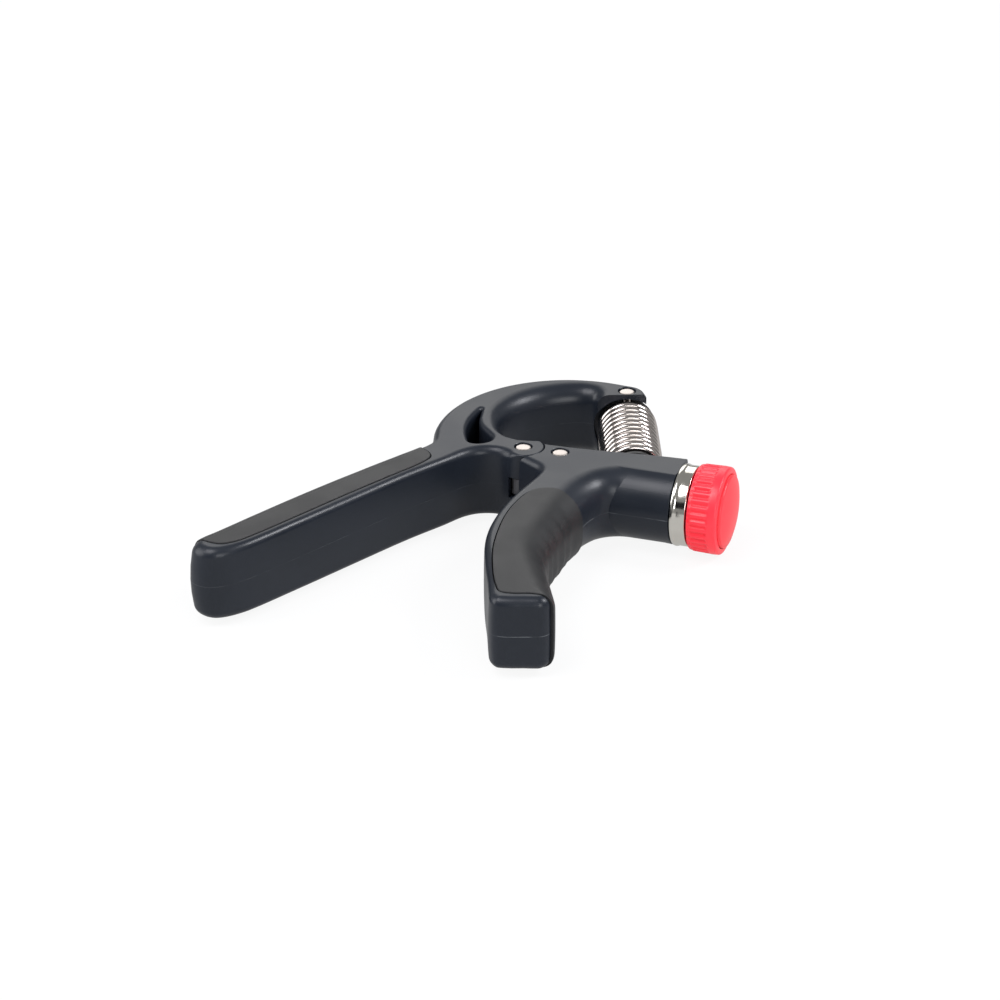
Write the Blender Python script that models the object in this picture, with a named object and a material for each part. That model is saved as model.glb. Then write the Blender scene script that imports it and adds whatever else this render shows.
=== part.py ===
import bpy
import bmesh
import math
from mathutils import Vector

MM = 0.001

# Main sizes, all for the gripper lying flat
body_thickness = 22.0 * MM
half_body = body_thickness / 2
axis_height = 12.75 * MM
running_gap = 0.3 * MM
bore_gap = 0.25 * MM
face_gap = 0.1 * MM

# Hinge between the two handles, at the origin of the plan
knuckle_radius = 6.0 * MM
seat_radius = knuckle_radius + running_gap
tongue_half = 2.4 * MM
tongue_width = 3.4 * MM
tongue_end_radius = 4.6 * MM
tongue_length = 15.0 * MM
washer_thickness = 0.5 * MM
clevis_half_gap = 3.3 * MM
clevis_radius = 5.0 * MM
pin_radius = 1.75 * MM
pin_head_radius = 2.25 * MM
pin_sink = 0.2 * MM
head_thickness = 0.6 * MM
counterbore_radius = 2.6 * MM
counterbore_floor = half_body - pin_sink - head_thickness - face_gap
rivet_distance = 11.1 * MM

# Barrel that carries the adjuster
barrel_azimuth = math.radians(29.5)
barrel_radius = 11.5 * MM
barrel_end = 46.8 * MM
spigot_radius = 10.2 * MM
spigot_end = barrel_end + 4.5 * MM
channel_half = 6.0 * MM
channel_floor = -6.0 * MM
channel_start = 17.5 * MM
channel_end = 43.8 * MM
trough_half = 9.7 * MM
trough_floor = 4.2 * MM
trough_start = 15.7 * MM
trough_end = 45.5 * MM

# Extension spring between the arm nose and the slider
spring_pin_x = -7.0 * MM
spring_pin_y = 47.8 * MM
spring_azimuth = math.radians(-40.0)
foot_pin_offset = 8.0 * MM
wire_diameter = 2.2 * MM
coil_radius = 7.9 * MM
end_turn_radius = 7.6 * MM
coil_turns = 11.25
flange_radius = 8.3 * MM
hanger_face = 1.2 * MM
spring_pin_radius = 1.25 * MM
spigot_plug_radius = 5.4 * MM
eye_radius = 3.0 * MM
eye_half = 5.2 * MM
nose_pocket_radius = 9.5 * MM
foot_flange = 1.4 * MM
foot_flange_from_pin = 3.55 * MM
foot_pin_radius = 1.4 * MM

# Adjuster
slider_length = 10.0 * MM
screw_radius = 2.4 * MM
screw_start = 19.0 * MM
ferrule_inner = spigot_radius + running_gap
ferrule_outer = spigot_radius + 1.8 * MM
ferrule_start = barrel_end + running_gap
ferrule_end = spigot_end + running_gap
knob_start = ferrule_end + 0.4 * MM
knob_end = knob_start + 9.0 * MM
knob_radius = axis_height
cap_radius = knob_radius - 2.15 * MM
screw_end = knob_start + 5.0 * MM
flute_count = 32
flute_depth = 0.55 * MM
bush_radius = 3.6 * MM

# Reach of the cutting shapes, past everything they cut
wide = 40.0 * MM
past_barrel = barrel_end + 23.2 * MM

# Grip panels
grip_proud = 0.9 * MM
grip_top = 0.3 * MM
grip_depth = 1.6 * MM

for item in list(bpy.data.objects):
    bpy.data.objects.remove(item, do_unlink=True)


def make_material(name, colour, roughness, metallic):
    material = bpy.data.materials.new(name)
    material.use_nodes = True
    shader = material.node_tree.nodes["Principled BSDF"]
    shader.inputs["Base Color"].default_value = (colour[0], colour[1], colour[2], 1.0)
    shader.inputs["Roughness"].default_value = roughness
    shader.inputs["Metallic"].default_value = metallic
    return material


# Places: each turns (along, side, up) into the plan
barrel_dir = Vector((math.cos(barrel_azimuth), math.sin(barrel_azimuth), 0.0))
barrel_side = Vector((-barrel_dir.y, barrel_dir.x, 0.0))
spring_dir = Vector((math.cos(spring_azimuth), math.sin(spring_azimuth), 0.0))
spring_side = Vector((-spring_dir.y, spring_dir.x, 0.0))
spring_origin = Vector((spring_pin_x, spring_pin_y, 0.0))
up = Vector((0.0, 0.0, 1.0))


def in_barrel(along, side, height):
    return barrel_dir * along + barrel_side * side + up * height


def in_spring(along, side, height):
    return spring_origin + spring_dir * along + spring_side * side + up * height


def swung_spring(angle):
    turned = spring_azimuth + angle
    ahead = Vector((math.cos(turned), math.sin(turned), 0.0))
    side_way = Vector((-ahead.y, ahead.x, 0.0))
    return lambda along, side, height: spring_origin + ahead * along + side_way * side + up * height


def upright(x, y):
    return lambda height, a, b: Vector((x + a, y + b, height))


# Where the spring line meets the slider
crossing_angle = barrel_azimuth - spring_azimuth
spring_cross = (spring_pin_y * barrel_dir.x - spring_pin_x * barrel_dir.y) / math.sin(crossing_angle)
barrel_cross = in_spring(spring_cross, 0.0, 0.0).dot(barrel_dir)
foot_pin_along = barrel_cross - foot_pin_offset / math.tan(crossing_angle)
foot_pin_spring = spring_cross - foot_pin_offset / math.sin(crossing_angle)
foot_pin_place = in_barrel(foot_pin_along, foot_pin_offset, 0.0)
foot_face = foot_pin_spring - foot_flange_from_pin - foot_flange
coil_start = hanger_face + running_gap + wire_diameter / 2
coil_end = foot_face - running_gap - wire_diameter / 2


def finish_mesh(name, bm, material, smooth=True):
    bmesh.ops.remove_doubles(bm, verts=bm.verts, dist=0.000002)
    bmesh.ops.recalc_face_normals(bm, faces=bm.faces)
    mesh = bpy.data.meshes.new(name)
    bm.to_mesh(mesh)
    bm.free()
    obj = bpy.data.objects.new(name, mesh)
    bpy.context.scene.collection.objects.link(obj)
    if material is not None:
        mesh.materials.append(material)
    if smooth:
        for face in mesh.polygons:
            face.use_smooth = True
    return obj


def loft(name, rings, material, closed=False):
    bm = bmesh.new()
    rows = [[bm.verts.new(point) for point in ring] for ring in rings]
    count = len(rows[0])
    pairs = list(zip(rows, rows[1:]))
    if closed:
        pairs.append((rows[-1], rows[0]))
    for low, high in pairs:
        for i in range(count):
            j = (i + 1) % count
            bm.faces.new((low[i], low[j], high[j], high[i]))
    if not closed:
        bm.faces.new(rows[0])
        bm.faces.new(rows[-1])
    return finish_mesh(name, bm, material)


def revolve(name, profile, place, material, steps=32, closed=False):
    rings = []
    for along, radius in profile:
        ring = []
        for i in range(steps):
            angle = 2 * math.pi * i / steps
            ring.append(place(along, radius * math.cos(angle), radius * math.sin(angle)))
        rings.append(ring)
    return loft(name, rings, material, closed)


def box(name, place, along, side, height, material=None):
    rings = []
    for z in height:
        rings.append([
            place(along[0], side[0], z),
            place(along[1], side[0], z),
            place(along[1], side[1], z),
            place(along[0], side[1], z),
        ])
    return loft(name, rings, material)


def prism(name, points, low, high, material=None):
    rings = [[Vector((x, y, z)) for x, y in points] for z in (low, high)]
    return loft(name, rings, material)


def combine(target, tool, operation):
    modifier = target.modifiers.new("combine", "BOOLEAN")
    modifier.operation = operation
    modifier.solver = "EXACT"
    modifier.object = tool
    graph = bpy.context.evaluated_depsgraph_get()
    graph.update()
    result = bpy.data.meshes.new_from_object(target.evaluated_get(graph))
    target.modifiers.clear()
    target.data = result
    result.name = target.name
    bm = bmesh.new()
    bm.from_mesh(result)
    bmesh.ops.remove_doubles(bm, verts=bm.verts, dist=0.000002)
    bmesh.ops.dissolve_degenerate(bm, edges=bm.edges, dist=0.000002)
    bm.to_mesh(result)
    bm.free()
    bpy.data.objects.remove(tool, do_unlink=True)
    return target


def cut(target, tool):
    return combine(target, tool, "DIFFERENCE")


def join(target, tool):
    return combine(target, tool, "UNION")


def keep_inside(target, tool):
    return combine(target, tool, "INTERSECT")


# Outlines: knots are (x, y, edge radius) in millimetres, joined by a smooth closed curve.
# A fourth value is how far the wall leans in from mid-height to the faces.
common_lean = 0.25


def arc_knots(x, y, radius, start, end, edge_start, edge_end, count):
    knots = []
    for i in range(count + 1):
        share = i / count
        angle = math.radians(start + (end - start) * share)
        edge = edge_start + (edge_end - edge_start) * share
        knots.append((x + radius * math.cos(angle), y + radius * math.sin(angle), edge))
    return knots


def upright_walls(knots):
    return [(*knot, 0.0) for knot in knots]


def smooth_outline(knots, turn_step=13.0, longest=14.0):
    points = [Vector(knot if len(knot) == 4 else (*knot, common_lean)) for knot in knots]
    count = len(points)
    result = []
    for i in range(count):
        p0 = points[i - 1]
        p1 = points[i]
        p2 = points[(i + 1) % count]
        p3 = points[(i + 2) % count]
        t1 = max((p1.xy - p0.xy).length, 0.0001) ** 0.5
        t2 = t1 + max((p2.xy - p1.xy).length, 0.0001) ** 0.5
        t3 = t2 + max((p3.xy - p2.xy).length, 0.0001) ** 0.5
        turn = (p1.xy - p0.xy).angle(p2.xy - p1.xy) + (p2.xy - p1.xy).angle(p3.xy - p2.xy)
        parts = math.ceil(math.degrees(turn) / 2 / turn_step)
        parts = max(parts, math.ceil((p2.xy - p1.xy).length / longest), 1)
        for k in range(parts):
            t = t1 + (t2 - t1) * k / parts
            a1 = p0 * ((t1 - t) / t1) + p1 * (t / t1)
            a2 = p1 * ((t2 - t) / (t2 - t1)) + p2 * ((t - t1) / (t2 - t1))
            a3 = p2 * ((t3 - t) / (t3 - t2)) + p3 * ((t - t2) / (t3 - t2))
            b1 = a1 * ((t2 - t) / t2) + a2 * (t / t2)
            b2 = a2 * ((t3 - t) / (t3 - t1)) + a3 * ((t - t1) / (t3 - t1))
            point = b1 * ((t2 - t) / (t2 - t1)) + b2 * ((t - t1) / (t2 - t1))
            edge = p1.z + (p2.z - p1.z) * k / parts
            lean = p1.w + (p2.w - p1.w) * k / parts
            result.append((point.x * MM, point.y * MM, edge * MM, lean * MM))
    return result


def outward_normals(outline):
    normals = []
    count = len(outline)
    for i in range(count):
        before = Vector(outline[i - 1][:2])
        here = Vector(outline[i][:2])
        after = Vector(outline[(i + 1) % count][:2])
        way = (here - before).normalized() + (after - here).normalized()
        way.normalize()
        normals.append(Vector((way.y, -way.x)))
    return normals


# A body with rounded edges whose edge radius varies along its outline
def pillow(name, outline, half_height, material, grow=0.0, steps=3, least_edge=0.25 * MM):
    normals = outward_normals(outline)
    rings = []
    levels = [-1.0] * (steps + 1) + [1.0] * (steps + 1)
    turns = list(range(steps, -1, -1)) + list(range(steps + 1))
    for side, turn in zip(levels, turns):
        angle = math.pi / 2 * turn / steps
        ring = []
        for (x, y, edge, lean), normal in zip(outline, normals):
            radius = max(edge + grow, least_edge)
            height = half_height - radius * (1 - math.sin(angle))
            inset = radius * (1 - math.cos(angle)) - grow + lean * (height / half_height) ** 2
            ring.append(Vector((x - normal.x * inset, y - normal.y * inset, side * height)))
        rings.append(ring)
    return loft(name, rings, material)


# A through cutter that flares at both faces, so that the hole has rounded edges
def flared_cutter(name, outline, half_height, steps=3):
    normals = outward_normals(outline)
    rings = []
    spare = 1.0 * MM
    turns = [(-1.0, steps, spare)] + [(-1.0, k, 0.0) for k in range(steps, -1, -1)]
    turns = turns + [(1.0, k, 0.0) for k in range(steps + 1)] + [(1.0, steps, spare)]
    for side, turn, extra in turns:
        angle = math.pi / 2 * turn / steps
        ring = []
        for (x, y, edge, lean), normal in zip(outline, normals):
            flare = edge * (1 - math.cos(angle))
            height = half_height - edge * (1 - math.sin(angle)) + extra
            ring.append(Vector((x + normal.x * flare, y + normal.y * flare, side * height)))
        rings.append(ring)
    return loft(name, rings, None)


def palm_outline():
    knots = arc_knots(0, 0, 6, -95, -56, 2.4, 0.6, 3)
    knots += upright_walls(arc_knots(0, 0, 6, -42, 86, 0.5, 0.5, 9))
    knots += [(-1.9, 4.7, 0.9), (-4.9, 3.1, 1.8), (-9.0, 2.2, 2.2), (-13.5, 3.2, 2.5)]
    knots += [(-17.8, 6.4, 3.0), (-21.4, 11.0, 3.8), (-23.3, 16.9, 4.2), (-23.7, 23.0, 4.2)]
    knots += [(-22.4, 29.0, 4.0), (-19.8, 34.5, 3.4), (-16.8, 38.6, 2.4), (-13.9, 40.5, 1.4)]
    nose = [(-11.4, 40.1, 0.9), (-9.3, 37.9, 0.7), (-7.6, 36.0, 0.6), (-6.3, 35.5, 0.6)]
    nose += [(-5.3, 36.5, 0.6), (-4.3, 39.3, 0.6), (-4.5, 42.2, 0.6), (-3.2, 44.7, 0.6)]
    nose += [(-0.9, 45.9, 0.6), (1.5, 45.8, 0.6), (2.9, 46.1, 0.6), (3.2, 47.0, 0.6), (2.4, 47.9, 0.9)]
    nose += arc_knots(-6.9, 46.7, 6.0, 56, 100, 1.6, 2.3, 3)
    knots += upright_walls(nose)
    knots += arc_knots(3.4, 14.8, 39.5, 112, 228, 2.5, 2.5, 16)
    knots += [(-21.7, -16.1, 2.5), (-21.0, -18.4, 2.6), (-21.2, -23.0, 3.2), (-22.1, -32.0, 4.4)]
    knots += [(-22.5, -45.0, 5.0), (-22.2, -62.0, 5.0), (-21.2, -82.0, 5.0), (-20.0, -97.0, 4.6, 0.3)]
    knots += [(-19.7, -103.0, 4.0, 0.8), (-18.5, -106.7, 3.2, 1.2), (-15.6, -109.1, 2.8, 1.4)]
    knots += [(-11.6, -109.1, 2.8, 1.3), (-8.7, -107.0, 2.6, 0.9), (-7.1, -103.6, 2.6, 0.4)]
    knots += [(-6.4, -97.0, 2.5), (-7.2, -76.0, 2.5)]
    knots += [(-8.4, -54.0, 2.5), (-9.2, -36.0, 2.5), (-8.9, -22.0, 2.5), (-8.5, -14.6, 2.5)]
    knots += [(-7.4, -10.6, 2.5), (-5.0, -7.6, 2.5), (-2.6, -6.3, 2.5)]
    return smooth_outline(knots)


def crescent_outline():
    knots = [(-27.1, 8.1, 1.4)]
    knots += arc_knots(-1.1, 14.9, 26.8, 204, 238, 1.5, 1.5, 4)
    knots += [(-13.2, -8.9, 1.5), (-11.4, -8.2, 1.5), (-10.1, -6.2, 1.5), (-9.9, -4.0, 1.5)]
    knots += [(-11.2, -2.0, 1.5), (-14.2, -0.9, 1.5), (-18.5, 0.4, 1.5), (-22.0, 2.6, 1.5)]
    knots += [(-24.8, 5.6, 1.5)]
    return smooth_outline(knots)


def finger_outline():
    knots = [(-1.6, 4.8, 1.6), (-2.7, 3.0, 1.6), (-2.6, -2.6, 1.6), (-0.8, -4.8, 1.6), (2.0, -5.1, 1.9)]
    knots += [(8.0, -5.0, 2.2), (11.4, -5.1, 2.3), (13.3, -6.1, 2.4), (14.4, -8.2, 2.5)]
    knots += [(16.3, -13.2, 2.5), (18.7, -20.2, 2.5), (22.0, -27.8, 2.5), (25.5, -34.2, 2.5)]
    knots += [(30.1, -40.9, 2.5), (35.8, -47.2, 2.5), (43.4, -53.8, 2.6), (51.2, -60.0, 2.8)]
    knots += [(57.4, -65.2, 2.4, 0.3), (60.0, -67.2, 2.3, 0.4), (62.9, -67.9, 2.4, 0.6), (65.6, -66.3, 2.6, 0.7)]
    knots += [(69.0, -62.6, 2.8, 0.5)]
    knots += arc_knots(68.5, -57.2, 3.9, -38, 46, 2.8, 3.2, 4)
    knots += [(68.2, -51.6, 5.6), (62.4, -47.2, 7.0), (56.6, -42.9, 7.8), (50.3, -37.8, 8.4), (45.9, -32.6, 8.4)]
    knots += [(42.9, -27.4, 8.4), (40.1, -22.2, 8.4), (36.7, -16.0, 8.2), (33.6, -9.0, 7.8), (31.4, -3.4, 7.6)]
    knots += arc_knots(38.6, 1.7, 8.0, 180, 119.5, 7.4, 7.4, 4)
    for along, side, edge in (
        (42.0, -9.5, 7.6), (50.0, -9.5, 7.0), (53.0, -7.0, 5.0), (54.0, 0.0, 2.2),
        (53.0, 7.0, 1.8), (50.0, 8.7, 2.0), (44.0, 8.7, 2.1), (34.0, 7.8, 2.1),
        (24.0, 6.6, 2.1), (14.0, 5.5, 2.0), (6.0, 5.0, 1.8),
    ):
        spot = in_barrel(along, side, 0.0)
        knots.append((spot.x, spot.y, edge))
    return smooth_outline(knots)


def palm_grip_region():
    line = [(-19.0, -22.3, 0), (-14.8, -22.9, 0), (-12.9, -24.3, 0), (-12.0, -28.5, 0)]
    line += [(-11.8, -40.0, 0), (-12.2, -58.0, 0), (-12.6, -76.0, 0), (-11.6, -92.0, 0)]
    line += [(-10.8, -98.0, 0), (-12.0, -102.2, 0), (-15.2, -103.9, 0), (-19.0, -104.2, 0)]
    corners = [(-34.0, -104.6, 0), (-36.0, -63.0, 0), (-34.0, -21.9, 0)]
    return line + corners


def finger_grip_region():
    line = [(29.8, -10.4, 0), (25.8, -11.4, 0), (22.8, -15.0, 0), (22.6, -19.0, 0)]
    line += [(24.7, -25.2, 0), (28.6, -32.6, 0), (34.0, -40.2, 0), (41.0, -48.4, 0)]
    line += [(49.5, -56.1, 0), (57.3, -62.0, 0), (60.6, -63.6, 0), (63.6, -62.0, 0)]
    line += [(67.0, -58.4, 0), (71.0, -55.9, 0)]
    corners = [(84.0, -50.0, 0), (72.0, -22.0, 0), (44.0, -7.0, 0)]
    return line + corners


def region_prism(name, region, grow):
    outline = smooth_outline(list(reversed(region)) if is_clockwise(region) else region)
    normals = outward_normals(outline)
    points = []
    for (x, y, edge, lean), normal in zip(outline, normals):
        points.append((x + normal.x * grow, y + normal.y * grow))
    return prism(name, points, -20 * MM, 20 * MM)


def is_clockwise(points):
    area = 0.0
    for i in range(len(points)):
        x0, y0 = points[i - 1][0], points[i - 1][1]
        x1, y1 = points[i][0], points[i][1]
        area += x0 * y1 - x1 * y0
    return area < 0


# The stretch of an outline below a sloping line of the plan, closed straight across
def handle_part(outline, level, slope):
    count = len(outline)
    heights = [y - slope * x for x, y, edge, lean in outline]
    starts = [i for i in range(count) if heights[i - 1] >= level > heights[i]]
    stretches = []
    for start in starts:
        stretch = []
        i = start
        while heights[i % count] < level:
            stretch.append(outline[i % count])
            i += 1
        stretches.append(stretch)
    longest = max(stretches, key=len)
    first = longest[0]
    last = longest[-1]
    longest[0] = (first[0], first[1], 0.4 * MM, 0.0)
    longest[-1] = (last[0], last[1], 0.4 * MM, 0.0)
    return longest


# Soft panel let into a handle, and the recess it sits in
def make_grip(name, outline, region, material):
    panel = pillow(name, outline, half_body + grip_top, material, grow=grip_proud)
    keep_inside(panel, region_prism("region", region, 0.0))
    core = pillow("core", outline, half_body + grip_top - grip_depth, None, grow=-grip_depth)
    return cut(panel, core)


def cut_grip_recess(target, outline, region):
    depth = grip_depth + running_gap
    recess = pillow("recess", outline, half_body + 2 * MM, None, grow=1.5 * MM)
    keep_inside(recess, region_prism("region", region, running_gap))
    core = pillow("core", outline, half_body + grip_top - depth, None, grow=-depth)
    cut(recess, core)
    return cut(target, recess)


def cut_pin_holes(target, x, y, shaft=pin_radius):
    cut(target, revolve("hole", [
        (-half_body - 2 * MM, counterbore_radius), (-counterbore_floor, counterbore_radius),
        (-counterbore_floor, shaft + bore_gap), (counterbore_floor, shaft + bore_gap),
        (counterbore_floor, counterbore_radius), (half_body + 2 * MM, counterbore_radius),
    ], upright(x, y), None, 24))
    return target


def headed_pin(name, x, y, material, shaft=pin_radius):
    head = half_body - pin_sink
    under = counterbore_floor + face_gap
    dome = 0.7
    profile = [
        (-head, pin_head_radius * dome), (-head + 0.2 * MM, pin_head_radius),
        (-under, pin_head_radius), (-under, shaft), (under, shaft),
        (under, pin_head_radius), (head - 0.2 * MM, pin_head_radius), (head, pin_head_radius * dome),
    ]
    return revolve(name, profile, upright(x, y), material, 24)


plastic = make_material("body_plastic", (0.02, 0.022, 0.027), 0.42, 0.0)
lever_plastic = make_material("lever_plastic", (0.02, 0.022, 0.027), 0.42, 0.0)
soft_palm = make_material("palm_soft", (0.03, 0.032, 0.036), 0.7, 0.0)
soft_finger = make_material("finger_soft", (0.03, 0.032, 0.036), 0.7, 0.0)
red_plastic = make_material("knob_red", (0.85, 0.03, 0.05), 0.35, 0.0)
red_cap = make_material("cap_red", (0.95, 0.06, 0.08), 0.35, 0.0)


def steel(name, shade=0.6, roughness=0.25):
    return make_material(name, (shade, shade * 0.98, shade * 0.95), roughness, 1.0)


palm_shape = palm_outline()
finger_shape = finger_outline()
palm_part = handle_part(palm_shape, -17.5 * MM, 0.0)
finger_part = handle_part(finger_shape, -12.0 * MM, 0.3)
spring_swings = [math.radians(a) for a in (3.8, -2.0, -7.0, -12.0)]

# Palm handle with the C-shaped arm
palm_handle = pillow("palm_handle", palm_shape, half_body, plastic)
cut(palm_handle, flared_cutter("crescent", crescent_outline(), half_body))
cut_grip_recess(palm_handle, palm_part, palm_grip_region())
slot = revolve("slot", [(-clevis_half_gap, clevis_radius), (clevis_half_gap, clevis_radius)], upright(0, 0), None, 40)
join(slot, box("slot_mouth", upright(0, 0), (-clevis_half_gap, clevis_half_gap), (0.2 * MM, 12 * MM), (-9 * MM, 9 * MM)))
cut(palm_handle, slot)
cut_pin_holes(palm_handle, 0.0, 0.0)
for swing in spring_swings:
    place = swung_spring(swing)
    pocket = [(0.1 * MM, nose_pocket_radius), (wide, nose_pocket_radius)]
    cut(palm_handle, revolve("pocket", pocket, place, None, 28))
eye_room = eye_radius + 0.4 * MM
eye_space = [(-eye_half - running_gap, eye_room), (eye_half + running_gap, eye_room)]
cut(palm_handle, revolve("eye_space", eye_space, upright(spring_pin_x, spring_pin_y), None, 24))
cut_pin_holes(palm_handle, spring_pin_x, spring_pin_y, spring_pin_radius)
palm_grip = make_grip("palm_grip", palm_part, palm_grip_region(), soft_palm)

# Finger lever with the barrel that holds the adjuster
finger_lever = pillow("finger_lever", finger_shape, half_body, lever_plastic)
cut_grip_recess(finger_lever, finger_part, finger_grip_region())
lip_end = barrel_end - 0.1 * MM
cut(finger_lever, box("square_end", in_barrel, (lip_end, past_barrel), (-wide, wide), (-wide, wide)))
cut(finger_lever, revolve("seat", [(-wide, seat_radius), (wide, seat_radius)], upright(0, 0), None, 64))
barrel_profile = [
    (16.0 * MM, 6.0 * MM), (18.0 * MM, 8.6 * MM), (21.0 * MM, 9.7 * MM), (25.0 * MM, 10.8 * MM),
    (30.0 * MM, barrel_radius), (barrel_end, barrel_radius),
    (barrel_end, spigot_radius), (spigot_end, spigot_radius),
]
barrel = revolve("barrel", barrel_profile, in_barrel, None, 48)
keep_inside(barrel, box("faces", in_barrel, (0, past_barrel), (-wide, wide), (-half_body, half_body)))
join(finger_lever, barrel)
cut(finger_lever, box("trough", in_barrel, (trough_start, trough_end), (trough_floor, wide), (-trough_half, trough_half)))
channel = box("channel", in_barrel, (channel_start, channel_end), (channel_floor, wide), (-channel_half, channel_half))
cut(finger_lever, channel)
bearing = [(channel_end - 2 * MM, bush_radius + bore_gap), (spigot_end + 2 * MM, bush_radius + bore_gap)]
cut(finger_lever, revolve("bearing", bearing, in_barrel, None, 24))
tongue_room = box(
    "tongue_room", in_barrel, (0.0, tongue_length + running_gap),
    (-tongue_width - running_gap, tongue_width + running_gap),
    (-tongue_half - running_gap, tongue_half + running_gap),
)
cut(finger_lever, tongue_room)
rivet_place = in_barrel(rivet_distance, 0.0, 0.0)
cut_pin_holes(finger_lever, rivet_place.x, rivet_place.y)
finger_grip = make_grip("finger_grip", finger_part, finger_grip_region(), soft_finger)

# Hinge hardware
hinge_tongue = revolve("hinge_tongue", [(-tongue_half, tongue_end_radius), (tongue_half, tongue_end_radius)],
                       upright(0, 0), steel("tongue_steel", 0.5), 32)
join(hinge_tongue, box("arm", in_barrel, (1 * MM, tongue_length), (-tongue_width, tongue_width),
                       (-tongue_half, tongue_half)))
for x, y in ((0.0, 0.0), (rivet_place.x, rivet_place.y)):
    hole = [(-wide, pin_radius + bore_gap), (wide, pin_radius + bore_gap)]
    cut(hinge_tongue, revolve("hole", hole, upright(x, y), None, 24))


def washer(name, place, start, thickness, inner, outer, material):
    profile = [(start, inner), (start, outer), (start + thickness, outer), (start + thickness, inner)]
    return revolve(name, profile, place, material, 24, closed=True)


washer_start = tongue_half + face_gap
washer_inner = pin_radius + bore_gap
washer("hinge_washer_top", upright(0, 0), washer_start, washer_thickness, washer_inner, 4.0 * MM,
       steel("washer_steel_top"))
washer("hinge_washer_bottom", upright(0, 0), -washer_start - washer_thickness, washer_thickness, washer_inner,
       4.0 * MM, steel("washer_steel_bottom"))
headed_pin("hinge_pin", 0.0, 0.0, steel("hinge_pin_steel", 0.7))
headed_pin("tongue_rivet", rivet_place.x, rivet_place.y, steel("rivet_steel", 0.7))
headed_pin("spring_pin", spring_pin_x, spring_pin_y, steel("spring_pin_steel", 0.7), spring_pin_radius)


# A small stop that the end of the wire meets
def wire_stop(holder, along_face, towards, angle, turning):
    tangent_start = wire_diameter * 1.05 + running_gap
    radial = Vector((math.cos(angle), math.sin(angle)))
    tangent = Vector((-radial.y, radial.x)) * turning
    far = tangent_start + 1.5 * MM
    wall = towards * 2.2 * MM
    low, high = sorted((along_face - towards * 0.4 * MM, along_face + wall))
    rings = []
    for along in (low, high):
        ring = []
        for reach, out in ((tangent_start, 5.9), (far, 5.9), (far, 8.1), (tangent_start, 8.1)):
            spot = radial * (out * MM) + tangent * reach
            ring.append(in_spring(along, spot.x, spot.y))
        rings.append(ring)
    return join(holder, loft("stop", rings, None))


# Plugs that hold the two ends of the spring
spring_hanger = revolve("spring_hanger", [
    (0.3 * MM, flange_radius - 0.3 * MM), (hanger_face, flange_radius), (hanger_face, spigot_plug_radius),
    (hanger_face + 10 * MM, spigot_plug_radius), (hanger_face + 13 * MM, 3.6 * MM),
], in_spring, make_material("hanger_plastic", (0.015, 0.015, 0.017), 0.5, 0.0), 28)
join(spring_hanger, revolve("eye", [(-eye_half, eye_radius), (eye_half, eye_radius)],
                            upright(spring_pin_x, spring_pin_y), None, 24))
spring_bore = spring_pin_radius + bore_gap
cut(spring_hanger, revolve("eye_hole", [(-wide, spring_bore), (wide, spring_bore)],
                           upright(spring_pin_x, spring_pin_y), None, 24))

foot_place = upright(foot_pin_place.x, foot_pin_place.y)
spring_foot = revolve("spring_foot", [
    (foot_face - 11 * MM, 3.8 * MM), (foot_face - 8 * MM, spigot_plug_radius), (foot_face, spigot_plug_radius),
    (foot_face, flange_radius), (foot_face + foot_flange, flange_radius),
], in_spring, make_material("foot_plastic", (0.015, 0.015, 0.017), 0.5, 0.0), 28)
foot_eye_half = 3.6 * MM
join(spring_foot, box("neck", in_spring, (foot_face + 1 * MM, foot_pin_spring), (-2.6 * MM, 2.6 * MM),
                      (-foot_eye_half, foot_eye_half)))
join(spring_foot, revolve("eye", [(-foot_eye_half, eye_radius), (foot_eye_half, eye_radius)], foot_place, None, 24))
foot_bore = foot_pin_radius + bore_gap
cut(spring_foot, revolve("eye_hole", [(-wide, foot_bore), (wide, foot_bore)], foot_place, None, 24))

# Spring: one tube swept along a helix whose end turns are drawn in
coil_points_per_turn = 9
coil_angle_start = math.radians(200.0)
coil_pitch = (coil_end - coil_start) / coil_turns


def coil_centreline():
    steps = round(coil_points_per_turn * coil_turns)
    points = []
    for i in range(steps + 1):
        turn = coil_turns * i / steps
        to_end = min(turn, coil_turns - turn)
        swell = min(to_end / 0.9, 1.0)
        swell = swell * swell * (3 - 2 * swell)
        radius = end_turn_radius + (coil_radius - end_turn_radius) * swell
        angle = coil_angle_start + 2 * math.pi * turn
        points.append(in_spring(coil_start + coil_pitch * turn, radius * math.cos(angle), radius * math.sin(angle)))
    return points


def with_straight_ends(points):
    first_angle = coil_angle_start
    last_angle = coil_angle_start + 2 * math.pi * coil_turns
    reach = wire_diameter
    first = in_spring(0, math.sin(first_angle), -math.cos(first_angle)) - in_spring(0, 0, 0)
    last = in_spring(0, -math.sin(last_angle), math.cos(last_angle)) - in_spring(0, 0, 0)
    return [points[0] + first * reach] + points + [points[-1] + last * reach]


def sweep_tube(name, points, radius, sides, material):
    rings = []
    normal = None
    for i, point in enumerate(points):
        before = points[max(i - 1, 0)]
        after = points[min(i + 1, len(points) - 1)]
        if i == 0:
            way = points[1] - points[0]
        elif i == len(points) - 1:
            way = points[-1] - points[-2]
        else:
            way = (point - before).normalized() + (after - point).normalized()
        way.normalize()
        if normal is None:
            normal = spring_dir.copy()
        normal = (normal - way * normal.dot(way)).normalized()
        other = way.cross(normal)
        ring = []
        for k in range(sides):
            angle = 2 * math.pi * (k + 0.5) / sides
            ring.append(point + (normal * math.cos(angle) + other * math.sin(angle)) * radius)
        rings.append(ring)
    return loft(name, rings, material)


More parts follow.
